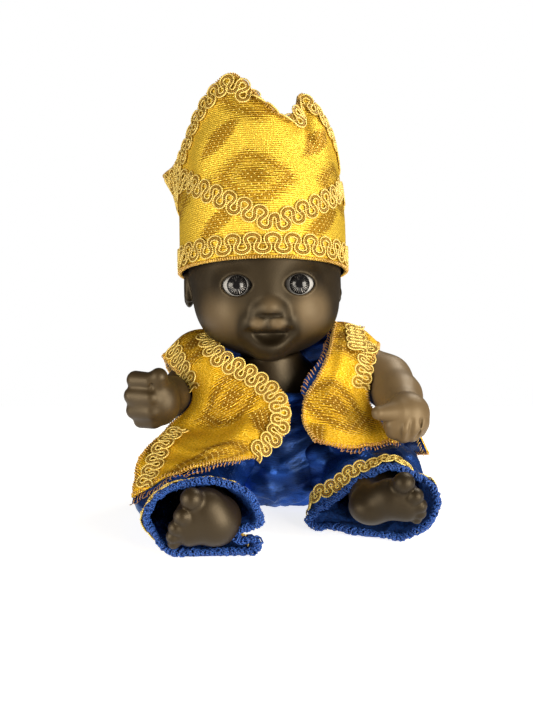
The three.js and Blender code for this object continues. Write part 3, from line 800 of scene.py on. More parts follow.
def fold(grid, spots, width, height):
    """A ridge of the cloth along a line through spots, each [column, row] from 0 to 1."""
    rows, columns = grid.shape[:2]
    stops = [grid[round(v * (rows - 1)), round(u * (columns - 1))] for u, v in spots]
    line = through(stops, np.linspace(0, 1, 24))
    apart = np.full(grid.shape[:2], 1e9)
    share = np.zeros(grid.shape[:2])
    for k, spot in enumerate(line):
        reach = length_of(grid - spot)
        share = np.where(reach < apart, k / (len(line) - 1), share)
        apart = np.minimum(apart, reach)
    fade = np.sin(np.clip(share, 0, 1) * math.pi) ** 0.5
    return height * np.exp(-((apart / width) ** 2)) * (0.25 + 0.75 * fade)


def cloth_piece(sheets, name, finishes):
    """One garment from sheets of (outer grid, inner grid, uv grid, wraps, closed start)."""
    corners, faces, slots, uvs = [], [], [], []
    offset = 0
    for outer, inner, flat, wraps, closed in sheets:
        rows, columns = outer.shape[:2]
        size = rows * columns
        points = np.concatenate([outer.reshape(-1, 3), inner.reshape(-1, 3)])
        flat_points = np.concatenate([flat.reshape(-1, 2)] * 2)
        steps = columns if wraps else columns - 1
        i, j = np.meshgrid(np.arange(steps), np.arange(rows - 1))
        i, j = i.ravel(), j.ravel()
        k = (i + 1) % columns
        first, second = j * columns + i, j * columns + k
        skin = np.stack([first, second, second + columns, first + columns], -1)
        column = np.arange(steps)
        after = (column + 1) % columns
        last = (rows - 1) * columns
        quads = [skin, skin[:, ::-1] + size]
        kinds = [np.zeros(len(skin)), np.ones(len(skin))]
        ends = [np.stack([last + column, last + after, size + last + after, size + last + column], -1)]
        if not closed:
            ends.append(np.stack([column, size + column, size + after, after], -1))
        if not wraps:
            row = np.arange(rows - 1) * columns
            below = row + columns
            ends.append(np.stack([row, below, size + below, size + row], -1))
            edge = columns - 1
            ends.append(np.stack([row + edge, size + row + edge, size + below + edge, below + edge], -1))
        quads += ends
        kinds += [np.zeros(len(end)) for end in ends]
        quads, kinds = np.concatenate(quads), np.concatenate(kinds)
        lists = quads.tolist()
        if closed:
            middle = len(points)
            points = np.concatenate([points, [outer[0].mean(0), inner[0].mean(0)]])
            flat_points = np.concatenate([flat_points, [flat[0].mean(0)] * 2])
            lists += [[middle, b, a] for a, b in zip(column.tolist(), after.tolist())]
            lists += [[middle + 1, size + a, size + b] for a, b in zip(column.tolist(), after.tolist())]
            kinds = np.concatenate([kinds, np.zeros(steps), np.ones(steps)])
        sample = points[quads[:, :4]]
        volume = (sample[:, 0] * np.cross(sample[:, 1], sample[:, 2])).sum()
        volume += (sample[:, 0] * np.cross(sample[:, 2], sample[:, 3])).sum()
        if volume < 0:
            lists = [face[::-1] for face in lists]
        around = flat[0, -1, 0] + flat[0, 1, 0] - flat[0, 0, 0]
        for face in lists:
            spots = flat_points[face]
            if wraps and np.ptp(spots[:, 0]) > around / 2:
                spots = spots + np.where(spots[:, :1] < around / 2, [[around, 0]], [[0, 0]])
            uvs.append(spots)
        corners.append(points)
        faces += [[k + offset for k in face] for face in lists]
        slots.append(kinds)
        offset += len(points)
    slots, uvs = np.concatenate(slots), np.concatenate(uvs)
    return new_piece(name, np.concatenate(corners), faces, finishes, slots, uvs)


def flattened(grid, wraps=False):
    """Each point's place on the flat cloth: the way across from the first column and down the rows."""
    across = length_of(np.diff(grid, axis=1)).cumsum(1)
    across = np.concatenate([np.zeros((len(grid), 1)), across], 1)
    if wraps:
        across = np.broadcast_to(across.mean(0), across.shape)
    else:
        across = across - across[:, -1:] / 2
    down = length_of(np.diff(grid, axis=0)).cumsum(0)
    down = np.concatenate([np.zeros((1, grid.shape[1])), down], 0)
    if wraps:
        down = np.broadcast_to(down.mean(1)[:, None], down.shape)
    return np.stack([across, -down], -1)


def satin_finish():
    """Royal blue satin with creases that catch the light, and painted sheen and shade along them."""
    finish = new_finish("blue satin", IOR=1.5, Specular_IOR_Level=0.8, Specular_Tint=(0.42, 0.66, 1, 1))
    point = texture_point(finish.node_tree)
    clouds = grain(point, 0.012)
    slubs = grain(texture_point(finish.node_tree, (1, 1, 9)), 0.0022)
    threads = grain(point, 0.00045, 1.0)
    tone = (0.6 * clouds + 0.4 * slubs).band(0.34, 0.66)
    x, y, z = point.parts()
    sideways = (x - 0.002).maths("ABSOLUTE")
    # the creases fan out from between the legs
    fan = {0: 0.22 * sideways, 1: 0.5 * y, 2: 1.5 * z - 0.5 * sideways}
    creased = grain(x.node("ShaderNodeCombineXYZ", None, fan), 0.017, 1.0).band(0.32, 0.62)
    # The colour follows the creases: painted shade in their hollows and painted sheen on their ridges.
    shade, light = (0.002, 0.011, 0.070), (0.016, 0.080, 0.40)
    set_looks(finish, {
        "Base Color": (tone * (0.3 + 0.7 * creased)).between(shade, light),
        "Metallic": 0.45 + 0.25 * tone,
        "Roughness": 0.21 + 0.10 * slubs + 0.06 * threads,
        "Normal": relief(0.04 * threads + 0.04 * slubs + creased, 0.0027),
    })
    return finish


def lining_finish():
    """The dull wrong side of the satin."""
    finish = new_finish("blue lining", IOR=1.5, Specular_IOR_Level=0.4)
    point = texture_point(finish.node_tree)
    threads = grain(point, 0.0012)
    set_looks(finish, {
        "Base Color": threads.band(0.3, 0.7).between((0.004, 0.026, 0.14), (0.012, 0.075, 0.33)),
        "Roughness": 0.60 + 0.2 * threads,
        "Normal": relief(threads, 0.0004),
    })
    return finish


blue_satin = satin_finish()
blue_lining = lining_finish()
trouser_thickness = 1.1
seat_middle = 2
# The seat's rings, from its underside up: [height, half width, half depth, how far back].
seat_rings = [
    (0, 1.5, 1.5, 12), (0, 14, 11, 12), (0.4, 22, 15, 12), (2.5, 28, 20, 11.5), (7, 32.5, 25.5, 9.5),
    (13, 35, 29.5, 8), (24, 35, 29, 8), (40, 33.5, 26, 8), (57, 33, 23.5, 8),
]
# The rings of each leg, from the hip down: [middle, half width, half height, the way across].
leg_rings = {
    "right": [
        ([-2, 8, 23], 15, 17, [0.6, -0.8]), ([-15, 3, 22.5], 19, 19, [0.62, -0.78]),
        ([-28, -9, 21.5], 20, 19.5, [0.7, -0.7]), ([-41, -27, 18.0], 20, 17, [0.95, -0.3]),
        ([-40, -48, 16], 20.5, 14.5, [0.98, 0.2]), ([-33, -64, 15], 20, 13.5, [0.99, 0.1]),
        ([-29.5, -78, 16.3], 23.5, 16.6, [1, 0.06]),
    ],
    "left": [
        ([6, 8, 23], 15, 17, [0.6, 0.8]), ([19, 4, 22.5], 19, 19, [0.66, 0.75]),
        ([31, -5, 21.5], 20.5, 19.5, [0.75, 0.66]), ([44.5, -20, 19.5], 21, 18.5, [0.97, 0.24]),
        ([45, -36, 18], 21, 17, [0.99, -0.1]), ([42, -46, 17.5], 23.5, 16.5, [0.95, -0.3]),
        ([40, -54, 17.5], 29, 17, [0.91, -0.4]),
    ],
}
# The outline of each cuff's edge, from the outer side over the top: [sideways, height].
cuff_outlines = {
    "right": [
        (-22.9, 17.8), (-18.3, 26.0), (-11.0, 30.0), (-0.1, 32.4), (9.1, 31.0), (17.2, 27.6), (20.8, 23.2),
        (22.4, 19.0), (23.6, 15.2), (20.4, 12.6), (15.2, 11.6), (12.6, 9.2), (15.2, 6.9), (19.6, 7.6),
        (22.6, 6.4), (21.6, 3.2), (15.9, 1.3), (5.7, 0.9), (-2.5, 0.9), (-9.8, 1.3), (-15.4, 4.2),
        (-19.8, 10.6),
    ],
    "left": [
        (-27.9, 4.4), (-23.2, 9.0), (-16.2, 14.9), (-8.5, 21.2), (-1.3, 27.1), (5.3, 31.1), (11.9, 32.7),
        (20.6, 30.0), (26.7, 27.0), (29.8, 21.2), (28.4, 14.7), (25.4, 9.0), (19.9, 5.0), (13.4, 1.6),
        (8.5, 2.8), (2.7, 1.2), (-5.4, 1.1), (-11.5, 2.7), (-18.0, 2.6), (-25.0, 2.0),
    ],
}
round_the_leg = 132
leg_rows = 90
leg_seeds = {"right": 5, "left": 11}


def ramp(values, start, end):
    """0 at start and 1 at end, and straight between."""
    return np.clip((values - start) / (end - start), 0, 1)


def leg_grid(side):
    """The cloth of a leg, from inside the seat to the edge of the cuff."""
    down = np.linspace(0, 1, leg_rows)
    middles, widths, heights, ways = zip(*leg_rings[side])
    middle = through(middles, down)
    wide = through(np.transpose([widths]), down)
    high = through(np.transpose([heights]), down)
    across = unit(through([[*way, 0] for way in ways], down))
    turn = np.arange(round_the_leg) / round_the_leg
    angle = math.pi - turn * 2 * math.pi
    plain = middle[:, None] + (wide * np.cos(angle))[..., None] * across[:, None]
    plain[..., 2] += high * np.sin(angle)
    edge = round_through(cuff_outlines[side], turn)
    edge[:, 1] -= middle[-1, 2]
    shaped = middle[:, None] + edge[None, :, :1] * across[-1]
    shaped[..., 2] += edge[:, 1]
    # the cuff's own outline takes over in the last third of the leg
    share = ramp(down, 0.68, 1.0) ** 1.5
    share = (share * share * (3 - 2 * share))[:, None, None]
    grid = plain * (1 - share) + shaped * share
    gather = (ramp(down, 0.45, 0.85) * ramp(down, 1.0, 0.88))[:, None]
    pleats = 0.9 * np.abs(np.sin(4.5 * angle + 2.2 * np.sin(9 * down)[:, None])) ** 1.6 - 0.4
    calm = (ramp(down, 0.0, 0.1) * ramp(down, 1.0, 0.9))[:, None]
    bulge = 0.9 * ripples(grid, leg_seeds[side], 19, stretch=(1, 1.5, 1)) * calm
    bulge += 0.75 * creases(grid, 7, 15) * calm + gather * pleats
    bulge += sum(fold(grid, *crease) for crease in leg_folds[side])
    grid = grid + outwards(grid, middle[:, None], wraps=True) * bulge[..., None]
    # what would sink into the table is spread out on it
    floor, soft = 0.25 + trouser_thickness / 2, 1.5
    lying = floor + soft * np.exp(np.minimum(grid[..., 2] - floor - soft, 0) / soft)
    grid[..., 2] = np.where(grid[..., 2] < floor + soft, lying, grid[..., 2])
    return grid


# Creases of each leg: the spots they run through, their width and their height.
leg_folds = {
    "right": [
        ([(0.25, 0.30), (0.36, 0.52), (0.42, 0.78)], 2.2, 1.9),
        ([(0.38, 0.25), (0.47, 0.45), (0.50, 0.74)], 1.9, 2.0),
        ([(0.46, 0.22), (0.56, 0.40), (0.62, 0.70)], 1.9, 1.9),
        ([(0.10, 0.40), (0.17, 0.60), (0.24, 0.80)], 2.4, 1.4),
    ],
    "left": [
        ([(0.05, 0.30), (0.16, 0.50), (0.24, 0.76)], 2.0, 2.0),
        ([(0.14, 0.24), (0.26, 0.42), (0.34, 0.70)], 1.9, 1.9),
        ([(0.30, 0.30), (0.40, 0.50), (0.46, 0.76)], 2.0, 1.6),
    ],
}


def tube(grid, thickness, flat=None, closed=False):
    """The sheet of a cloth that wraps round, from its middle: outer face, inner face and flat places."""
    half = outwards(grid, grid.mean((0, 1)), wraps=True) * thickness / 2
    return grid + half, grid - half, flattened(grid, True) if flat is None else flat, True, closed


def strip(grid, thickness):
    """The same of an open cloth over the doll's body."""
    half = outwards(grid, body_middle) * thickness / 2
    return grid + half, grid - half, flattened(grid), False, False


body_middle = np.array([0, 6, 50])


# Creases of the lap, which fan out from between the legs.
seat_folds = [
    ([(0.745, 0.30), (0.715, 0.46), (0.67, 0.60)], 1.8, 2.2),
    ([(0.755, 0.32), (0.745, 0.52), (0.73, 0.74)], 1.6, 1.9),
    ([(0.765, 0.30), (0.79, 0.48), (0.83, 0.62)], 1.8, 2.1),
    ([(0.74, 0.26), (0.69, 0.34), (0.63, 0.42)], 1.6, 1.9),
    ([(0.77, 0.26), (0.81, 0.34), (0.86, 0.42)], 1.6, 1.9),
]


def seat_grid():
    """The cloth of the seat and the belly, from the middle of its underside up to the waist."""
    rows, round_the_seat = 70, 150
    height, wide, deep, back = through(seat_rings, np.linspace(0, 1, rows)).T[..., None]
    angle = np.arange(round_the_seat) / round_the_seat * 2 * math.pi
    grid = np.stack(np.broadcast_arrays(
        seat_middle + wide * np.cos(angle), back + deep * np.sin(angle), height,
    ), -1)
    calm = ramp(grid[..., 2], 3, 11)
    bulge = (0.8 * ripples(grid, 21, 17, stretch=(1, 1, 1.6)) + 0.9 * creases(grid, 22, 14)) * calm
    bulge += sum(fold(grid, *crease) for crease in seat_folds)
    grid = grid + outwards(grid, grid.mean((0, 1)), wraps=True) * bulge[..., None]
    grid[..., 2] = np.maximum(grid[..., 2], trouser_thickness / 2)
    return grid


leg_cloth = {side: leg_grid(side) for side in leg_rings}
sheets = [tube(seat_grid(), trouser_thickness, closed=True)]
sheets += [tube(grid, trouser_thickness) for grid in leg_cloth.values()]
trousers = cloth_piece(sheets, "satin_trousers", [blue_satin, blue_lining])
in_place_of("trousers", trousers)

# Waistcoat
# Gold brocade lined with the same blue satin, open down the front and at both sides. Its two front
# panels and its back meet at the shoulders, and its edges are overlocked with orange and gold thread.

panels = {
    "front_right": [
        [[-33, 5, 84.5], [-43, 4, 82.5], [-54, 3, 72]],
        [[-25, -16, 75], [-35, -15.5, 72], [-44, -11, 62]],
        [[-8, -21, 67], [-24, -24, 59], [-42.5, -20, 51.5]],
        [[4.5, -27, 58], [-20, -31, 48], [-49.5, -28, 42.5]],
        [[6.0, -32, 45], [-23, -45, 41], [-59.5, -42, 34]],
        [[-7.5, -43, 33.5], [-34, -60, 33], [-61.5, -56, 19.0]],
    ],
    "front_left": [
        [[29, 5, 88], [40, 4, 86], [50, 3, 78]],
        [[24.5, -14, 74], [34, -15, 73], [45, -13, 66]],
        [[19, -20.5, 64], [31, -21, 61], [43, -18, 55.5]],
        [[13.5, -26, 56], [29, -27, 52], [46.5, -21, 47]],
        [[13, -30.5, 46], [31, -32, 44], [51, -25, 41]],
        [[18, -36, 39], [33, -38, 36], [56, -27, 36.5]],
    ],
    "back": [
        [[-54, 3, 72], [-43, 4, 82.5], [-33, 5, 84.5], [-1, 29, 73], [29, 5, 88], [40, 4, 86], [50, 3, 78]],
        [[-52, 16, 60], [-41, 24, 64], [-26, 30, 65], [-1, 35, 62], [24, 30, 66], [38, 24, 66], [50, 16, 62]],
        [[-47, 26, 45], [-37, 32, 46], [-22, 36, 47], [0, 38, 47], [22, 36, 47], [35, 32, 46], [44, 26, 45]],
        [[-48, 33, 30], [-38, 38, 30], [-20, 41, 30], [0, 42, 30], [22, 41, 30], [38, 37, 32], [69, 10, 35.5]],
        [[-54, 38, 15], [-42, 43, 13], [-22, 45, 12], [1, 46, 12], [24, 45, 12], [48, 38, 14], [75.5, 3, 23.5]],
    ],
}
panel_folds = {
    "front_right": [
        ([(0.30, 0.42), (0.34, 0.60), (0.40, 0.80)], 3.2, 1.2),
        ([(0.52, 0.30), (0.56, 0.50), (0.60, 0.70)], 3.0, 1.1),
        ([(0.95, 0.72), (0.60, 0.86), (0.30, 0.92)], 2.2, 1.3),
    ],
    "front_left": [
        ([(0.30, 0.05), (0.34, 0.30), (0.30, 0.52)], 2.2, 1.1),
        ([(0.60, 0.05), (0.64, 0.30), (0.66, 0.60)], 2.2, 1.0),
    ],
    "back": [
        ([(0.25, 0.25), (0.28, 0.60), (0.24, 0.95)], 4.5, 1.6),
        ([(0.50, 0.15), (0.49, 0.55), (0.52, 0.96)], 4.5, 1.5),
        ([(0.76, 0.25), (0.72, 0.60), (0.77, 0.95)], 4.5, 1.6),
    ],
}
panel_size = {"front_right": (60, 96), "front_left": (52, 84), "back": (130, 84)}
waistcoat_thickness = 1.1
waistcoat_gap = 1.5


def leg_tree(grid):
    """A search tree over the faces of a leg's cloth."""
    first = np.arange((leg_rows - 1) * round_the_leg)
    after = first + 1 - round_the_leg * (first % round_the_leg == round_the_leg - 1)
    faces = np.stack([first, after, after + round_the_leg, first + round_the_leg], -1)
    return BVHTree.FromPolygons(grid.reshape(-1, 3).tolist(), faces.tolist())


leg_trees = [(leg_tree(grid), grid.mean(1)) for grid in leg_cloth.values()]


def lying_on(grid, gap):
    """The cloth moved off the limbs and the trouser legs until it is gap millimetres from them."""
    points = grid.reshape(-1, 3).copy()
    for _ in range(2):
        for field in (torso_field, arm_field(arms["right"]), arm_field(arms["left"])):
            value = field(points)
            slope = slope_of(field, points, value, 0.05)
            slope /= np.maximum(length_of(slope), 0.3)[:, None]
            points += slope * np.clip(gap - value, 0, 14)[:, None]
        for tree, middle in leg_trees:
            for k, point in enumerate(points):
                spot, normal, _, reach = tree.find_nearest(point.tolist(), 16)
                if spot is None:
                    continue
                spot, normal = np.array(spot), np.array(normal)
                nearest_middle = middle[length_of(middle - spot).argmin()]
                normal *= np.sign((spot - nearest_middle) @ normal)
                height = (point - spot) @ normal
                if height < gap:
                    points[k] += normal * (gap - height)
        points = 0.5 * points + 0.5 * smoothed(points.reshape(grid.shape)).reshape(-1, 3)
    return points.reshape(grid.shape)


def smoothed(grid):
    """The grid with each point moved halfway to its neighbours, the edges along themselves."""
    result = grid.copy()
    result[1:-1] += 0.25 * (grid[2:] + grid[:-2] - 2 * grid[1:-1])
    result[:, 1:-1] += 0.25 * (grid[:, 2:] + grid[:, :-2] - 2 * grid[:, 1:-1])
    return result


def panel_grid(name):
    """The cloth of a panel, with its folds, laid over the doll."""
    columns, rows = panel_size[name]
    across = through(np.transpose(panels[name], (1, 0, 2)), np.linspace(0, 1, columns))
    grid = through(np.transpose(across, (1, 0, 2)), np.linspace(0, 1, rows))
    bulge = 0.5 * ripples(grid, 31 + columns, 15) * np.linspace(0, 1, rows)[:, None] ** 0.5
    bulge += sum(fold(grid, *crease) for crease in panel_folds[name])
    return lying_on(grid + outwards(grid, body_middle) * bulge[..., None], waistcoat_gap)


panel_cloth = {name: panel_grid(name) for name in panels}


def gold_thread_pattern(finish, shift):
    """Brocade: ringed diamonds and slanting leaves in dark gold on bright, with fine cross threads."""
    flat = texture_point(finish.node_tree, (1000, 1000, 1000), "UV")
    streaky = texture_point(finish.node_tree, (1000, 3600, 1000), "UV")
    wobble = noise(flat, 0.05, 1.0, "2D")
    ragged = noise(streaky, 0.26, 3.0, "2D")
    across, down, _ = flat.parts()
    x = across + shift[0] + 5 * (wobble - 0.5)
    y = down + shift[1]
    wide, tall = 52.0, 38.0

    def cell(dx, dy):
        """The way from the middle of the repeat that a point is in."""
        return [(value + step).maths("WRAP", size / 2, -size / 2)
                for value, step, size in ((x, dx, wide), (y, dy, tall))]

    def size_of(a, b, power):
        return (a.maths("ABSOLUTE") ** power + b.maths("ABSOLUTE") ** power) ** (1 / power)

    rough = 0.36 * (ragged - 0.5) + 0.15 * y.wave(1.25)
    ax, ay = cell(0, 0)
    diamond = size_of((ax + 0.2 * ay) / 18.0, ay / 12.0, 1.3) + rough
    bx, by = cell(17, -19)
    leaf = size_of((0.80 * bx + 0.60 * by) / 15.0, (0.80 * by - 0.60 * bx) / 4.6, 1.7) + rough
    heart = 1 - diamond.band(0.36, 0.48)
    ring = diamond.band(0.56, 0.66) * (1 - diamond.band(0.94, 1.12))
    blade = 1 - leaf.band(0.75, 1.05)
    dark = heart.maths("MAXIMUM", ring).maths("MAXIMUM", blade)
    weft = y.wave(0.95) * 0.5 + 0.5
    warp = x.wave(0.62) * 0.5 + 0.5
    dots = (x.wave(2.5) * y.wave(3.2)).band(0.74, 0.92)
    return dark, weft, warp, dots, ragged, flat


def brocade_finish(name, shift, light, shade):
    """Gold brocade with painted glints, its pattern shifted in mm and two tones each for ground and motifs."""
    finish = new_finish(name, IOR=1.5, Specular_Tint=(1, 0.72, 0.25, 1))
    dark, weft, warp, dots, ragged, flat = gold_thread_pattern(finish, shift)
    streaks = flat.node("ShaderNodeMapping", None, {"Vector": flat, "Scale": (1, 2.4, 1)})
    glints = noise(streaks, 1.1, 2.0, "2D")
    thread_shine_and_painted_glints = glints.band(0.53, 0.66)
    gap = (1 - glints).band(0.52, 0.66)
    bright = (0.35 * weft + 0.3 * warp + 0.35 * ragged).between(*light)
    deep = (0.6 * weft + 0.4 * ragged).between(*shade)
    colour = dark.between(bright, deep)
    colour = (gap * (0.50 - 0.10 * dark)).between(colour, shade[0])
    # Bright yellow specks are painted glints; the same mask makes those threads more metallic and smoother.
    colour = (thread_shine_and_painted_glints * (0.62 - 0.34 * dark)).between(colour, (1.0, 0.76, 0.13))
    colour = (dots * dark).between(colour, (1.0, 0.78, 0.22))
    height = 0.5 * weft + 0.3 * warp + 0.6 * dots * dark + 0.35 * (1 - dark) + 0.8 * glints
    set_looks(finish, {
        "Base Color": colour,
        "Metallic": 0.55 + 0.25 * thread_shine_and_painted_glints,
        "Roughness": 0.46 - 0.12 * thread_shine_and_painted_glints + 0.08 * ragged,
        "Normal": relief(height, 0.00020),
    })
    return finish


# The waistcoat's copy of the brocade is painted darker than the hat's, as painted shade.
gold_brocade = brocade_finish(
    "gold brocade", (4.0, 10.0),
    light=((0.46, 0.23, 0.002), (0.92, 0.54, 0.014)), shade=((0.15, 0.060, 0.001), (0.29, 0.125, 0.002)))
sheets = [strip(grid, waistcoat_thickness) for grid in panel_cloth.values()]
waistcoat = cloth_piece(sheets, "brocade_waistcoat", [gold_brocade, blue_satin])
in_place_of("waistcoat", waistcoat)

lining_thickness = 0.6
lining_gap = 0.8


def facing_grid(panel, edge_at, beside_at, widths):
    """A turned edge of lining: a strip that runs out from under an edge of the brocade."""
    cloth = panel_cloth[panel]
    edge = cloth[edge_at][:, None]
    away = unit(edge - cloth[beside_at][:, None])
    out = outwards(cloth, body_middle)[edge_at][:, None]
    wide = np.interp(np.linspace(0, 1, len(edge)), np.linspace(0, 1, len(widths)), widths)[:, None, None]
    columns = np.linspace(-0.15, 1, 9)[:, None]
    return lying_on(edge + away * wide * columns - out * (0.9 + 0.25 * wide), lining_gap)


# Each turned edge: its panel, the edge, the line of cloth beside it and the widths along it.
facings = {
    "neck_facing": facing_grid("front_left", np.s_[:46, 0], np.s_[:46, 3], [1.5, 2.6, 4.2, 5.6, 3.0]),
    "right_hem_facing": facing_grid(
        "front_right", np.s_[-1, 8:], np.s_[-4, 8:], [0.6, 1.6, 2.6, 3.4, 4.2, 3.6, 2.2]),
    "left_hem_facing": facing_grid("front_left", np.s_[-1, 20:], np.s_[-4, 20:], [0.4, 1.6, 2.2, 2.4]),
}
for name, grid in facings.items():
    turned_edge = cloth_piece([strip(grid, lining_thickness)], name, [blue_satin, blue_satin])
    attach(turned_edge, "root")

# Hat
# A tube of the same brocade and lining, cut along its top into points that stand up as a crown. One
# point has flopped over to the doll's right.

hat_at = np.array([-5.6, 8, 111.2])
hat_turn = turned((-12.6, -1, 0))
brim_radii = (39.5, 42)
straight_height = 24
# The crown's edge: [degrees round from the front, height above the brim, radius there]
crown_edge = [
    (-180, 58, 38), (-150, 64, 39.5), (-122, 55, 49), (-105, 53, 50), (-88, 54, 41.5), (-66, 62, 38),
    (-46, 77.5, 36), (-20, 86.5, 36), (-5, 77, 37), (17, 65, 37.5), (42, 81, 29), (66, 74, 31.5),
    (88, 64, 35), (110, 58, 37), (145, 78, 32), (180, 58, 38),
]
# The braid that crosses the hat: [degrees, height].
chevron_line = [(-180, 20), (-92, 38), (-68, 43.5), (8, 15), (80, 40), (180, 20)]
hat_thickness = 1.1
crown_fine = through(crown_edge, np.linspace(0, 1, 3000))


def crown_height(degrees):
    """How high the crown's edge stands at each angle."""
    return np.interp(degrees, crown_fine[:, 0], crown_fine[:, 1])


def hat_points(degrees, height):
    """Points of the hat's cloth, at angles and heights of the same shape."""
    degrees = (degrees + 180) % 360 - 180
    edge_height = crown_height(degrees)
    edge_radius = np.interp(degrees, crown_fine[:, 0], crown_fine[:, 2])
    bend = np.maximum(0, (height - straight_height) / (edge_height - straight_height)) ** 1.6
    wide = brim_radii[0] + (edge_radius - brim_radii[0]) * bend
    deep = brim_radii[1] + (edge_radius - brim_radii[1]) * bend
    angle = np.radians(degrees)
    local = np.stack([wide * np.sin(angle), -deep * np.cos(angle), height], -1)
    swell = np.zeros(local.shape[:-1])
    for at, up, wide_at, tall_at, size in hat_dents:
        away = (degrees - at + 180) % 360 - 180
        swell += size * np.exp(-((away / wide_at) ** 2) - ((height - up) / tall_at) ** 2)
    outward = np.stack([np.sin(angle), -np.cos(angle), np.zeros_like(angle)], -1)
    return (local + outward * swell[..., None]) @ hat_turn.T + hat_at


# Soft dents and swellings: [degrees, height, width in degrees, height, depth].
hat_dents = [
    (40, 66, 5, 12, -4.4), (30, 60, 8, 10, 1.4), (54, 60, 8, 12, 1.6), (-40, 55, 14, 9, 1.4),
    (-62, 44, 10, 8, -1.6), (-10, 62, 20, 8, 1.0), (75, 40, 12, 12, -1.2), (120, 45, 16, 14, -2.0),
    (170, 50, 18, 14, 1.6), (-140, 40, 14, 12, 1.5), (5, 34, 24, 7, 0.8), (150, 30, 20, 8, -1.2),
]
hat_round, hat_rows = 220, 72
hat_degrees = np.linspace(-180, 180, hat_round, endpoint=False)
hat_share = np.linspace(0, 1, hat_rows)[:, None]
hat_heights = hat_share * crown_height(hat_degrees)
hat_grid = hat_points(np.broadcast_to(hat_degrees, hat_heights.shape), hat_heights)
flat_radius = 40.5
hat_flat = np.stack(np.broadcast_arrays(np.radians(hat_degrees) * flat_radius, hat_heights), -1)
# The hat's copy of the same brocade is painted brighter than the waistcoat's, as painted light.
hat_brocade = brocade_finish(
    "hat brocade", (3.5, -37.0),
    light=((0.56, 0.34, 0.010), (0.97, 0.68, 0.08)), shade=((0.22, 0.10, 0.002), (0.40, 0.21, 0.010)))
hat = cloth_piece([tube(hat_grid, hat_thickness, hat_flat)], "crown_hat", [hat_brocade, blue_satin])
in_place_of("hat", hat)

# Looped gold braid
# A bought trim about 9 mm wide: a flat cord with a bright metal thread along each side, laid in round
# loops and held by a thin chain of stitches down its middle. It is sewn on along the garments' edges.

steps_per_loop = 24
steps_per_turn = 8


def new_tree(name, sockets):
    """A geometry tree with its inputs in order, and a wire from each of them."""
    tree = bpy.data.node_groups.new(name, "GeometryNodeTree")
    tree.interface.new_socket("Geometry", in_out="OUTPUT", socket_type="NodeSocketGeometry")
    for label, kind in sockets.items():
        tree.interface.new_socket(label, in_out="INPUT", socket_type="NodeSocket" + kind)
    source = tree.nodes.new("NodeGroupInput")
    return tree, {label: Wire(tree, source.outputs[label]) for label in sockets}


def vector_mix(tree, *terms):
    """The sum of vectors, each times a number."""
    total = None
    for vector, amount in terms:
        part = add_node(tree, "ShaderNodeVectorMath", {"operation": "SCALE"}, {0: vector, "Scale": amount})
        total = part if total is None else total.vector_maths("ADD", part)
    return total


def moved(curve, offset):
    """The curve with its points moved by an offset."""
    return curve.node("GeometryNodeSetPosition", None, {"Geometry": curve, "Offset": offset})


def kept(shape, name, kind, value):
    """The shape with a value kept on its points."""
    return shape.node("GeometryNodeStoreNamedAttribute", {"data_type": kind, "domain": "POINT"},
                      {"Geometry": shape, "Name": name, "Value": value})


def stepped_path(tree, given, rounds, steps):
    """The path as a curve with steps points in each round. With it come the index of each point and the
    ways to its side, out of the cloth and along the path."""
    curve = given["Path"].node("GeometryNodeMeshToCurve", None, {"Mesh": given["Path"]})
    count = given[rounds] * steps + given["Open"]
    curve = curve.node("GeometryNodeResampleCurve", {"mode": "COUNT"}, {"Curve": curve, "Count": count})
    index = add_node(tree, "GeometryNodeInputIndex")
    side, out = [
        add_node(tree, "GeometryNodeInputNamedAttribute", {"data_type": "FLOAT_VECTOR"}, {"Name": name})
        for name in ("side", "out")
    ]
    return curve, index, side, out, side.vector_maths("CROSS_PRODUCT", out)


def thread_along(tree, curve, radius, sides, finish):
    """A round thread on a curve. It keeps how far along and which way round each point is."""
    length = add_node(tree, "GeometryNodeSplineParameter", None, None, "Length")
    curve = kept(curve, "along", "FLOAT", length)
    rim = add_node(tree, "GeometryNodeCurvePrimitiveCircle", {"mode": "RADIUS"},
                   {"Resolution": sides, "Radius": radius}, "Curve")
    rim = kept(rim, "about", "FLOAT_VECTOR", add_node(tree, "GeometryNodeInputPosition"))
    thread = curve.node("GeometryNodeCurveToMesh", None,
                        {"Curve": curve, "Profile Curve": rim, "Fill Caps": True})
    return thread.node("GeometryNodeSetMaterial", None, {"Geometry": thread, "Material": finish})


def finish_tree(tree, parts):
    """Joins the parts of a tree and realizes them."""
    gathered = tree.nodes.new("GeometryNodeJoinGeometry")
    for part in reversed(parts):
        tree.links.new(part.socket, gathered.inputs[0])
    whole = Wire(tree, gathered.outputs[0])
    whole = whole.node("GeometryNodeRealizeInstances", None, {"Geometry": whole})
    sink = tree.nodes.new("NodeGroupOutput")
    tree.links.new(whole.socket, sink.inputs[0])
    return tree


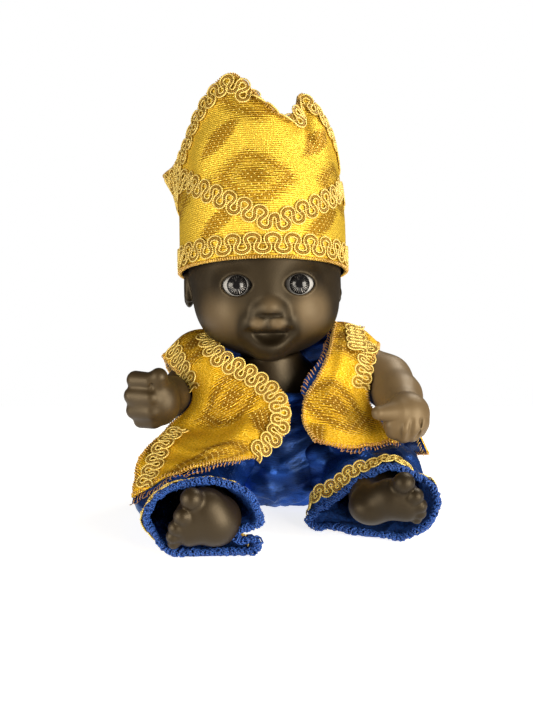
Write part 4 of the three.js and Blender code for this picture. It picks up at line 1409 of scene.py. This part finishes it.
def looped_braid_tree():
    """Two bright threads beside a core in round loops, and a chain of stitches down the middle."""
    tree, given = new_tree("looped braid", {
        "Path": "Geometry", "Loops": "Int", "Open": "Int", "Reach": "Float", "Swing": "Float",
        "Strand gap": "Float", "Strand radius": "Float", "Core radius": "Float", "Stitch radius": "Float",
        "Bright thread": "Material", "Core thread": "Material",
    })
    curve, index, side, out, along = stepped_path(tree, given, "Loops", steps_per_loop)
    phase = index * (2 * math.pi / steps_per_loop)
    wave = phase.maths("COSINE") + 0.05 * (phase * 3).maths("COSINE")
    sway = (phase * 2).maths("SINE")
    meander = moved(curve, vector_mix(
        tree, (side, given["Reach"] * wave), (along, given["Swing"] * sway), (out, given["Core radius"])))
    across = out.vector_maths("CROSS_PRODUCT", add_node(tree, "GeometryNodeInputTangent"))
    across = across.vector_maths("NORMALIZE")
    parts = []
    for way in (-1, 1):
        shift = vector_mix(tree, (across, given["Strand gap"] * way), (out, given["Strand radius"] * 0.6))
        strand = moved(meander, shift)
        parts.append(thread_along(tree, strand, given["Strand radius"], 6, given["Bright thread"]))
    parts.append(thread_along(tree, meander, given["Core radius"], 5, given["Core thread"]))
    rise = given["Strand radius"] * (2.4 + 0.5 * (phase * 4).maths("COSINE"))
    chain = moved(curve, vector_mix(tree, (out, rise)))
    parts.append(thread_along(tree, chain, given["Stitch radius"], 4, given["Bright thread"]))
    return finish_tree(tree, parts)


def wound_thread_tree():
    """Thread wound over an edge, one turn after another, a little unevenly."""
    tree, given = new_tree("wound thread", {
        "Path": "Geometry", "Turns": "Int", "Open": "Int", "Reach": "Float", "Height": "Float",
        "Slant": "Float", "Thread radius": "Float", "Unevenness": "Float", "Thread": "Material",
    })
    curve, index, side, out, along = stepped_path(tree, given, "Turns", steps_per_turn)
    phase = index * (2 * math.pi / steps_per_turn)
    turn = (index / steps_per_turn).maths("FLOOR")
    chance = [
        add_node(tree, "FunctionNodeRandomValue", {"data_type": "FLOAT"},
                 {"ID": turn, "Seed": seed, 2: -1.0, 3: 1.0}, 1)
        for seed in (4, 9, 15)
    ]
    uneven = [given["Unevenness"] * value for value in chance]
    coil = moved(curve, vector_mix(
        tree,
        (side, given["Reach"] * (1 + uneven[0]) * phase.maths("COSINE")),
        (out, given["Height"] * (1 + uneven[1]) * phase.maths("SINE")),
        (along, given["Slant"] * (phase.maths("COSINE") + uneven[2])),
    ))
    return finish_tree(tree, [thread_along(tree, coil, given["Thread radius"], 5, given["Thread"])])


looped_braid = looped_braid_tree()
wound_thread = wound_thread_tree()


def grown(name, tree, path, values):
    """A plain mesh piece made by a tree from a path of (points, side, out, closed) in millimetres."""
    points, side, out, closed = path
    count = len(points)
    mesh = bpy.data.meshes.new(name)
    edges = [(i, (i + 1) % count) for i in range(count if closed else count - 1)]
    mesh.from_pydata((np.asarray(points) / 1000).tolist(), edges, [])
    for label, vectors in (("side", side), ("out", out)):
        layer = mesh.attributes.new(label, "FLOAT_VECTOR", "POINT")
        layer.data.foreach_set("vector", np.asarray(vectors, np.float32).ravel())
    seed = bpy.data.objects.new(name + "_path", mesh)
    bpy.context.scene.collection.objects.link(seed)
    modifier = seed.modifiers.new("grow", "NODES")
    modifier.node_group = tree
    keys = {item.name: item.identifier for item in tree.interface.items_tree if item.in_out == "INPUT"}
    for label, value in {"Open": 0 if closed else 1, **values}.items():
        modifier[keys[label]] = value
    evaluated = seed.evaluated_get(bpy.context.evaluated_depsgraph_get())
    plain = bpy.data.meshes.new_from_object(evaluated)
    plain.name = name
    bpy.data.objects.remove(seed)
    piece = bpy.data.objects.new(name, plain)
    plain.shade_smooth()
    bpy.context.scene.collection.objects.link(piece)
    return piece


def thread_finish(name, shade, light, metallic, pitch, roughness=0.38):
    """Twisted thread: slanting strands, light on top and shaded between."""
    finish = new_finish(name, IOR=1.5)
    tree = finish.node_tree
    along = add_node(tree, "ShaderNodeAttribute", {"attribute_name": "along"}, None, "Fac")
    about = add_node(tree, "ShaderNodeAttribute", {"attribute_name": "about"}, None, "Vector")
    across, up, _ = about.parts()
    twist = up.maths("ARCTAN2", across) + along * (2 * math.pi / (pitch / 1000))
    strands = 0.5 + 0.5 * twist.maths("SINE")
    mottle = grain(texture_point(tree), 0.0016)
    tone = (0.62 * strands + 0.55 * (mottle - 0.3)).band(0.0, 0.9)
    set_looks(finish, {
        "Base Color": tone.between(shade, light),
        "Metallic": metallic * (0.6 + 0.4 * strands),
        "Roughness": roughness + 0.15 * mottle,
        "Normal": relief(strands, 0.00012),
    })
    return finish


bright_gold_thread = thread_finish(
    "bright gold thread", (0.58, 0.35, 0.03), (1.0, 0.85, 0.30), metallic=0.5, pitch=0.9, roughness=0.36)
# The core is painted dark, as painted shade between the two bright threads.
core_thread_in_painted_shade = thread_finish(
    "core gold thread in painted shade", (0.17, 0.080, 0.002), (0.46, 0.26, 0.016), metallic=0.3, pitch=0.8)


def run_of(path):
    """The length of a path of (points, side, out, closed)."""
    points, _, _, closed = path
    run = length_of(np.diff(points, axis=0)).sum()
    return run + length_of(points[0] - points[-1]) if closed else run


def braid_piece(name, node, path, loop_length, reach=3.7):
    """Braid sewn along a path, its loops reaching out to both sides."""
    piece = grown(name, looped_braid, path, {
        "Loops": max(1, round(run_of(path) / loop_length)),
        "Reach": reach / 1000,
        "Swing": 0.19 * loop_length / 1000,
        "Strand gap": 0.00095,
        "Strand radius": 0.00036,
        "Core radius": 0.00042,
        "Stitch radius": 0.00016,
        "Bright thread": bright_gold_thread,
        "Core thread": core_thread_in_painted_shade,
    })
    in_place_of(node, piece)


sewn_gap = 0.1
trim_degrees = np.linspace(-180, 180, 360, endpoint=False)


def on_hat(heights, tilt=0.0):
    """A path round the hat at the trim's angles, at heights and with a tilt inwards."""
    heights = np.broadcast_to(heights, trim_degrees.shape)
    points = hat_points(trim_degrees, heights)
    up = hat_points(trim_degrees, heights + 0.5) - hat_points(trim_degrees, heights - 0.5)
    on = hat_points(trim_degrees + 0.5, heights) - hat_points(trim_degrees - 0.5, heights)
    out = unit(np.cross(on, up))
    side = unit(np.cross(out, np.roll(points, -1, axis=0) - np.roll(points, 1, axis=0)))
    cos, sin = np.cos(tilt)[..., None], np.sin(tilt)[..., None]
    points = points + out * (hat_thickness / 2 + sewn_gap)
    return points, side * cos - out * sin, out * cos + side * sin, True


# The crown's braid lies over the edge in the dip between the two front points.
crown_tilt = np.radians(72 * np.exp(-(((trim_degrees - 8) / 13) ** 4)))
crown_rim = crown_height(trim_degrees)
hat_braids = {
    "brim": (on_hat(6.5), 9.0),
    "chevron": (on_hat(np.interp(trim_degrees, *np.transpose(chevron_line))), 7.8),
    "crown": (on_hat(crown_rim - 5.4 + 4.6 * np.sin(crown_tilt), crown_tilt), 7.4),
}
for place, (path, loop_length) in hat_braids.items():
    braid_piece(f"hat_{place}_gimp", f"hat_{place}_braid", path, loop_length)


def sampled(field, columns, rows):
    """A grid's values between its points, at columns and rows given from 0 to 1."""
    height, width = field.shape[:2]
    x, y = columns * (width - 1), rows * (height - 1)
    i, j = np.minimum(x.astype(int), width - 2), np.minimum(y.astype(int), height - 2)
    a, b = (x - i)[:, None], (y - j)[:, None]
    top = field[j, i] * (1 - a) + field[j, i + 1] * a
    bottom = field[j + 1, i] * (1 - a) + field[j + 1, i + 1] * a
    return top * (1 - b) + bottom * b


def on_cloth(grid, columns, rows, lift):
    """A straight path over a cloth, from its first column and row to its last, each from 0 to 1."""
    spots = [np.linspace(*ends, 200) for ends in (columns, rows)]
    points, up = sampled(grid, *spots), sampled(outwards(grid, body_middle), *spots)
    run = np.gradient(points, axis=0)
    side = unit(np.cross(up, run))
    up = unit(np.cross(run, side))
    return points + up * lift, side, up, False


# Each run of braid: its CAD node's edge, the panel, its columns, its rows and the length of a loop.
waistcoat_braids = {
    "front": ("front", "front_right", (0.085, 0.085), (0.04, 0.97), 6.2),
    "right_arm": ("right_arm", "front_right", (0.88, 0.88), (0.62, 0.99), 6.4),
    "right_shoulder": ("right_arm", "front_right", (0.80, 0.84), (0.01, 0.32), 6.0),
    "left_arm": ("left_arm", "front_left", (0.82, 0.82), (0.05, 0.36), 5.4),
    "left_shoulder": ("left_arm", "front_left", (0.42, 0.62), (0.01, 0.14), 4.6),
}
for place, (node_place, panel, columns, rows, loop_length) in waistcoat_braids.items():
    path = on_cloth(panel_cloth[panel], columns, rows, waistcoat_thickness / 2 + sewn_gap)
    braid_piece(f"waistcoat_{place}_gimp", f"waistcoat_{node_place}_braid", path, loop_length)


def round_the_cuff(side, inset, lift):
    """A path round a cuff, inset millimetres back from its edge along the cloth."""
    grid = leg_cloth[side]
    out = outwards(grid, grid.mean(1, keepdims=True), wraps=True)
    steps = length_of(np.diff(grid[::-1], axis=0))
    back = np.concatenate([np.zeros((1, round_the_leg)), steps.cumsum(0)])
    points, up = [
        np.array([[np.interp(inset, back[:, k], field[::-1, k, axis]) for axis in range(3)]
                  for k in range(round_the_leg)])
        for field in (grid, out)
    ]
    up = unit(up)
    way = unit(np.cross(up, unit(np.roll(points, -1, axis=0) - np.roll(points, 1, axis=0))))
    return points + up * lift, way, up, True


resting_height = 2.2
table_gap, half_width = 0.4, 3.8
for side in leg_rings:
    points, way, up, _ = round_the_cuff(side, 7.0, trouser_thickness / 2 + sewn_gap)
    # the braid stops where the cuff rests on the table, and bends up near it to clear the top
    clear = points[:, 2] > resting_height
    points[:, 2] = np.maximum(points[:, 2], table_gap + half_width * np.abs(way[:, 2]))
    first = np.argmax(clear & ~np.roll(clear, 1))
    open_run = np.roll(clear, -first).nonzero()[0] + first - round_the_leg
    path = (points[open_run], way[open_run], up[open_run], False)
    braid_piece(f"{side}_cuff_gimp", f"{side}_cuff_braid", path, 5.4, reach=2.4)

# Stitched edges
# The trouser cuffs are overlocked with thick fluffy blue yarn. The waistcoat and the hat are
# overlocked with thinner orange and gold thread, which shows where an edge turns outwards.

blue_yarn = thread_finish(
    "blue yarn", (0.002, 0.016, 0.11), (0.016, 0.105, 0.44), metallic=0.0, pitch=1.0, roughness=0.6)
orange_thread = thread_finish(
    "orange thread", (0.30, 0.12, 0.03), (0.78, 0.42, 0.14), metallic=0.1, pitch=0.8, roughness=0.5)
gold_edge_thread = thread_finish(
    "gold edge thread", (0.40, 0.20, 0.03), (0.95, 0.66, 0.20), metallic=0.3, pitch=0.8)


def wound_piece(name, path, finish, slot, pitch, reach, height, slant, radius, uneven):
    """Thread wound over an edge, with one turn in each pitch."""
    piece = grown(name, wound_thread, path, {
        "Turns": max(2, round(run_of(path) / pitch)),
        "Reach": reach / 1000,
        "Height": height / 1000,
        "Slant": slant / 1000,
        "Thread radius": radius / 1000,
        "Unevenness": uneven,
        "Thread": finish,
    })
    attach(piece, "root")


yarn_layers = [
    {"pitch": 1.5, "slant": 1.5, "uneven": 0.42},
    {"pitch": 1.3, "slant": -1.4, "uneven": 0.48},
]
yarn_half_width = 2.15
for side in leg_rings:
    points, way, up, closed = round_the_cuff(side, 1.2, 0.0)
    # where the cuff rests on the table, its yarn is squeezed up
    points[:, 2] = np.maximum(points[:, 2], yarn_half_width)
    for number, layer in enumerate(yarn_layers, 1):
        wound_piece(f"{side}_cuff_overlock_{number}", (points, way, up, closed), blue_yarn, "satin",
                    reach=2.0, height=1.15, radius=0.42, **layer)

# Each overlocked edge of the waistcoat: its panel, its columns, its rows and its thread.
whole, low_end, high_end = (0, 1), (0.01, 0.01), (0.99, 0.99)
waistcoat_edges = {
    "neck": ("front_left", low_end, whole, gold_edge_thread),
    "left_hem": ("front_left", whole, high_end, orange_thread),
    "left_arm": ("front_left", high_end, whole, gold_edge_thread),
    "right_hem": ("front_right", whole, high_end, gold_edge_thread),
    "right_front": ("front_right", low_end, whole, gold_edge_thread),
    "right_arm": ("front_right", high_end, whole, gold_edge_thread),
    "back_hem": ("back", whole, high_end, orange_thread),
    "back_right": ("back", low_end, whole, gold_edge_thread),
    "back_left": ("back", high_end, whole, gold_edge_thread),
    "collar": ("back", (0.30, 0.70), low_end, gold_edge_thread),
}
for place, (panel, columns, rows, thread) in waistcoat_edges.items():
    path = on_cloth(panel_cloth[panel], columns, rows, 0.0)
    wound_piece(f"waistcoat_{place}_overlock", path, thread, "brocade",
                pitch=1.3, reach=1.0, height=0.85, slant=0.5, radius=0.24, uneven=0.3)

for name, grid in facings.items():
    wound_piece(f"{name}_lace", on_cloth(grid, (0.80, 0.80), whole, 0.2), orange_thread, "brocade",
                pitch=1.9, reach=1.3, height=0.6, slant=1.0, radius=0.2, uneven=0.4)

for place, heights, reach in (("brim", 0.5, 0.55), ("crown", crown_rim - 0.5, 0.6)):
    wound_piece(f"hat_{place}_overlock", on_hat(heights), gold_edge_thread, "brocade",
                pitch=1.15, reach=reach, height=0.75, slant=0.3, radius=0.2, uneven=0.18)
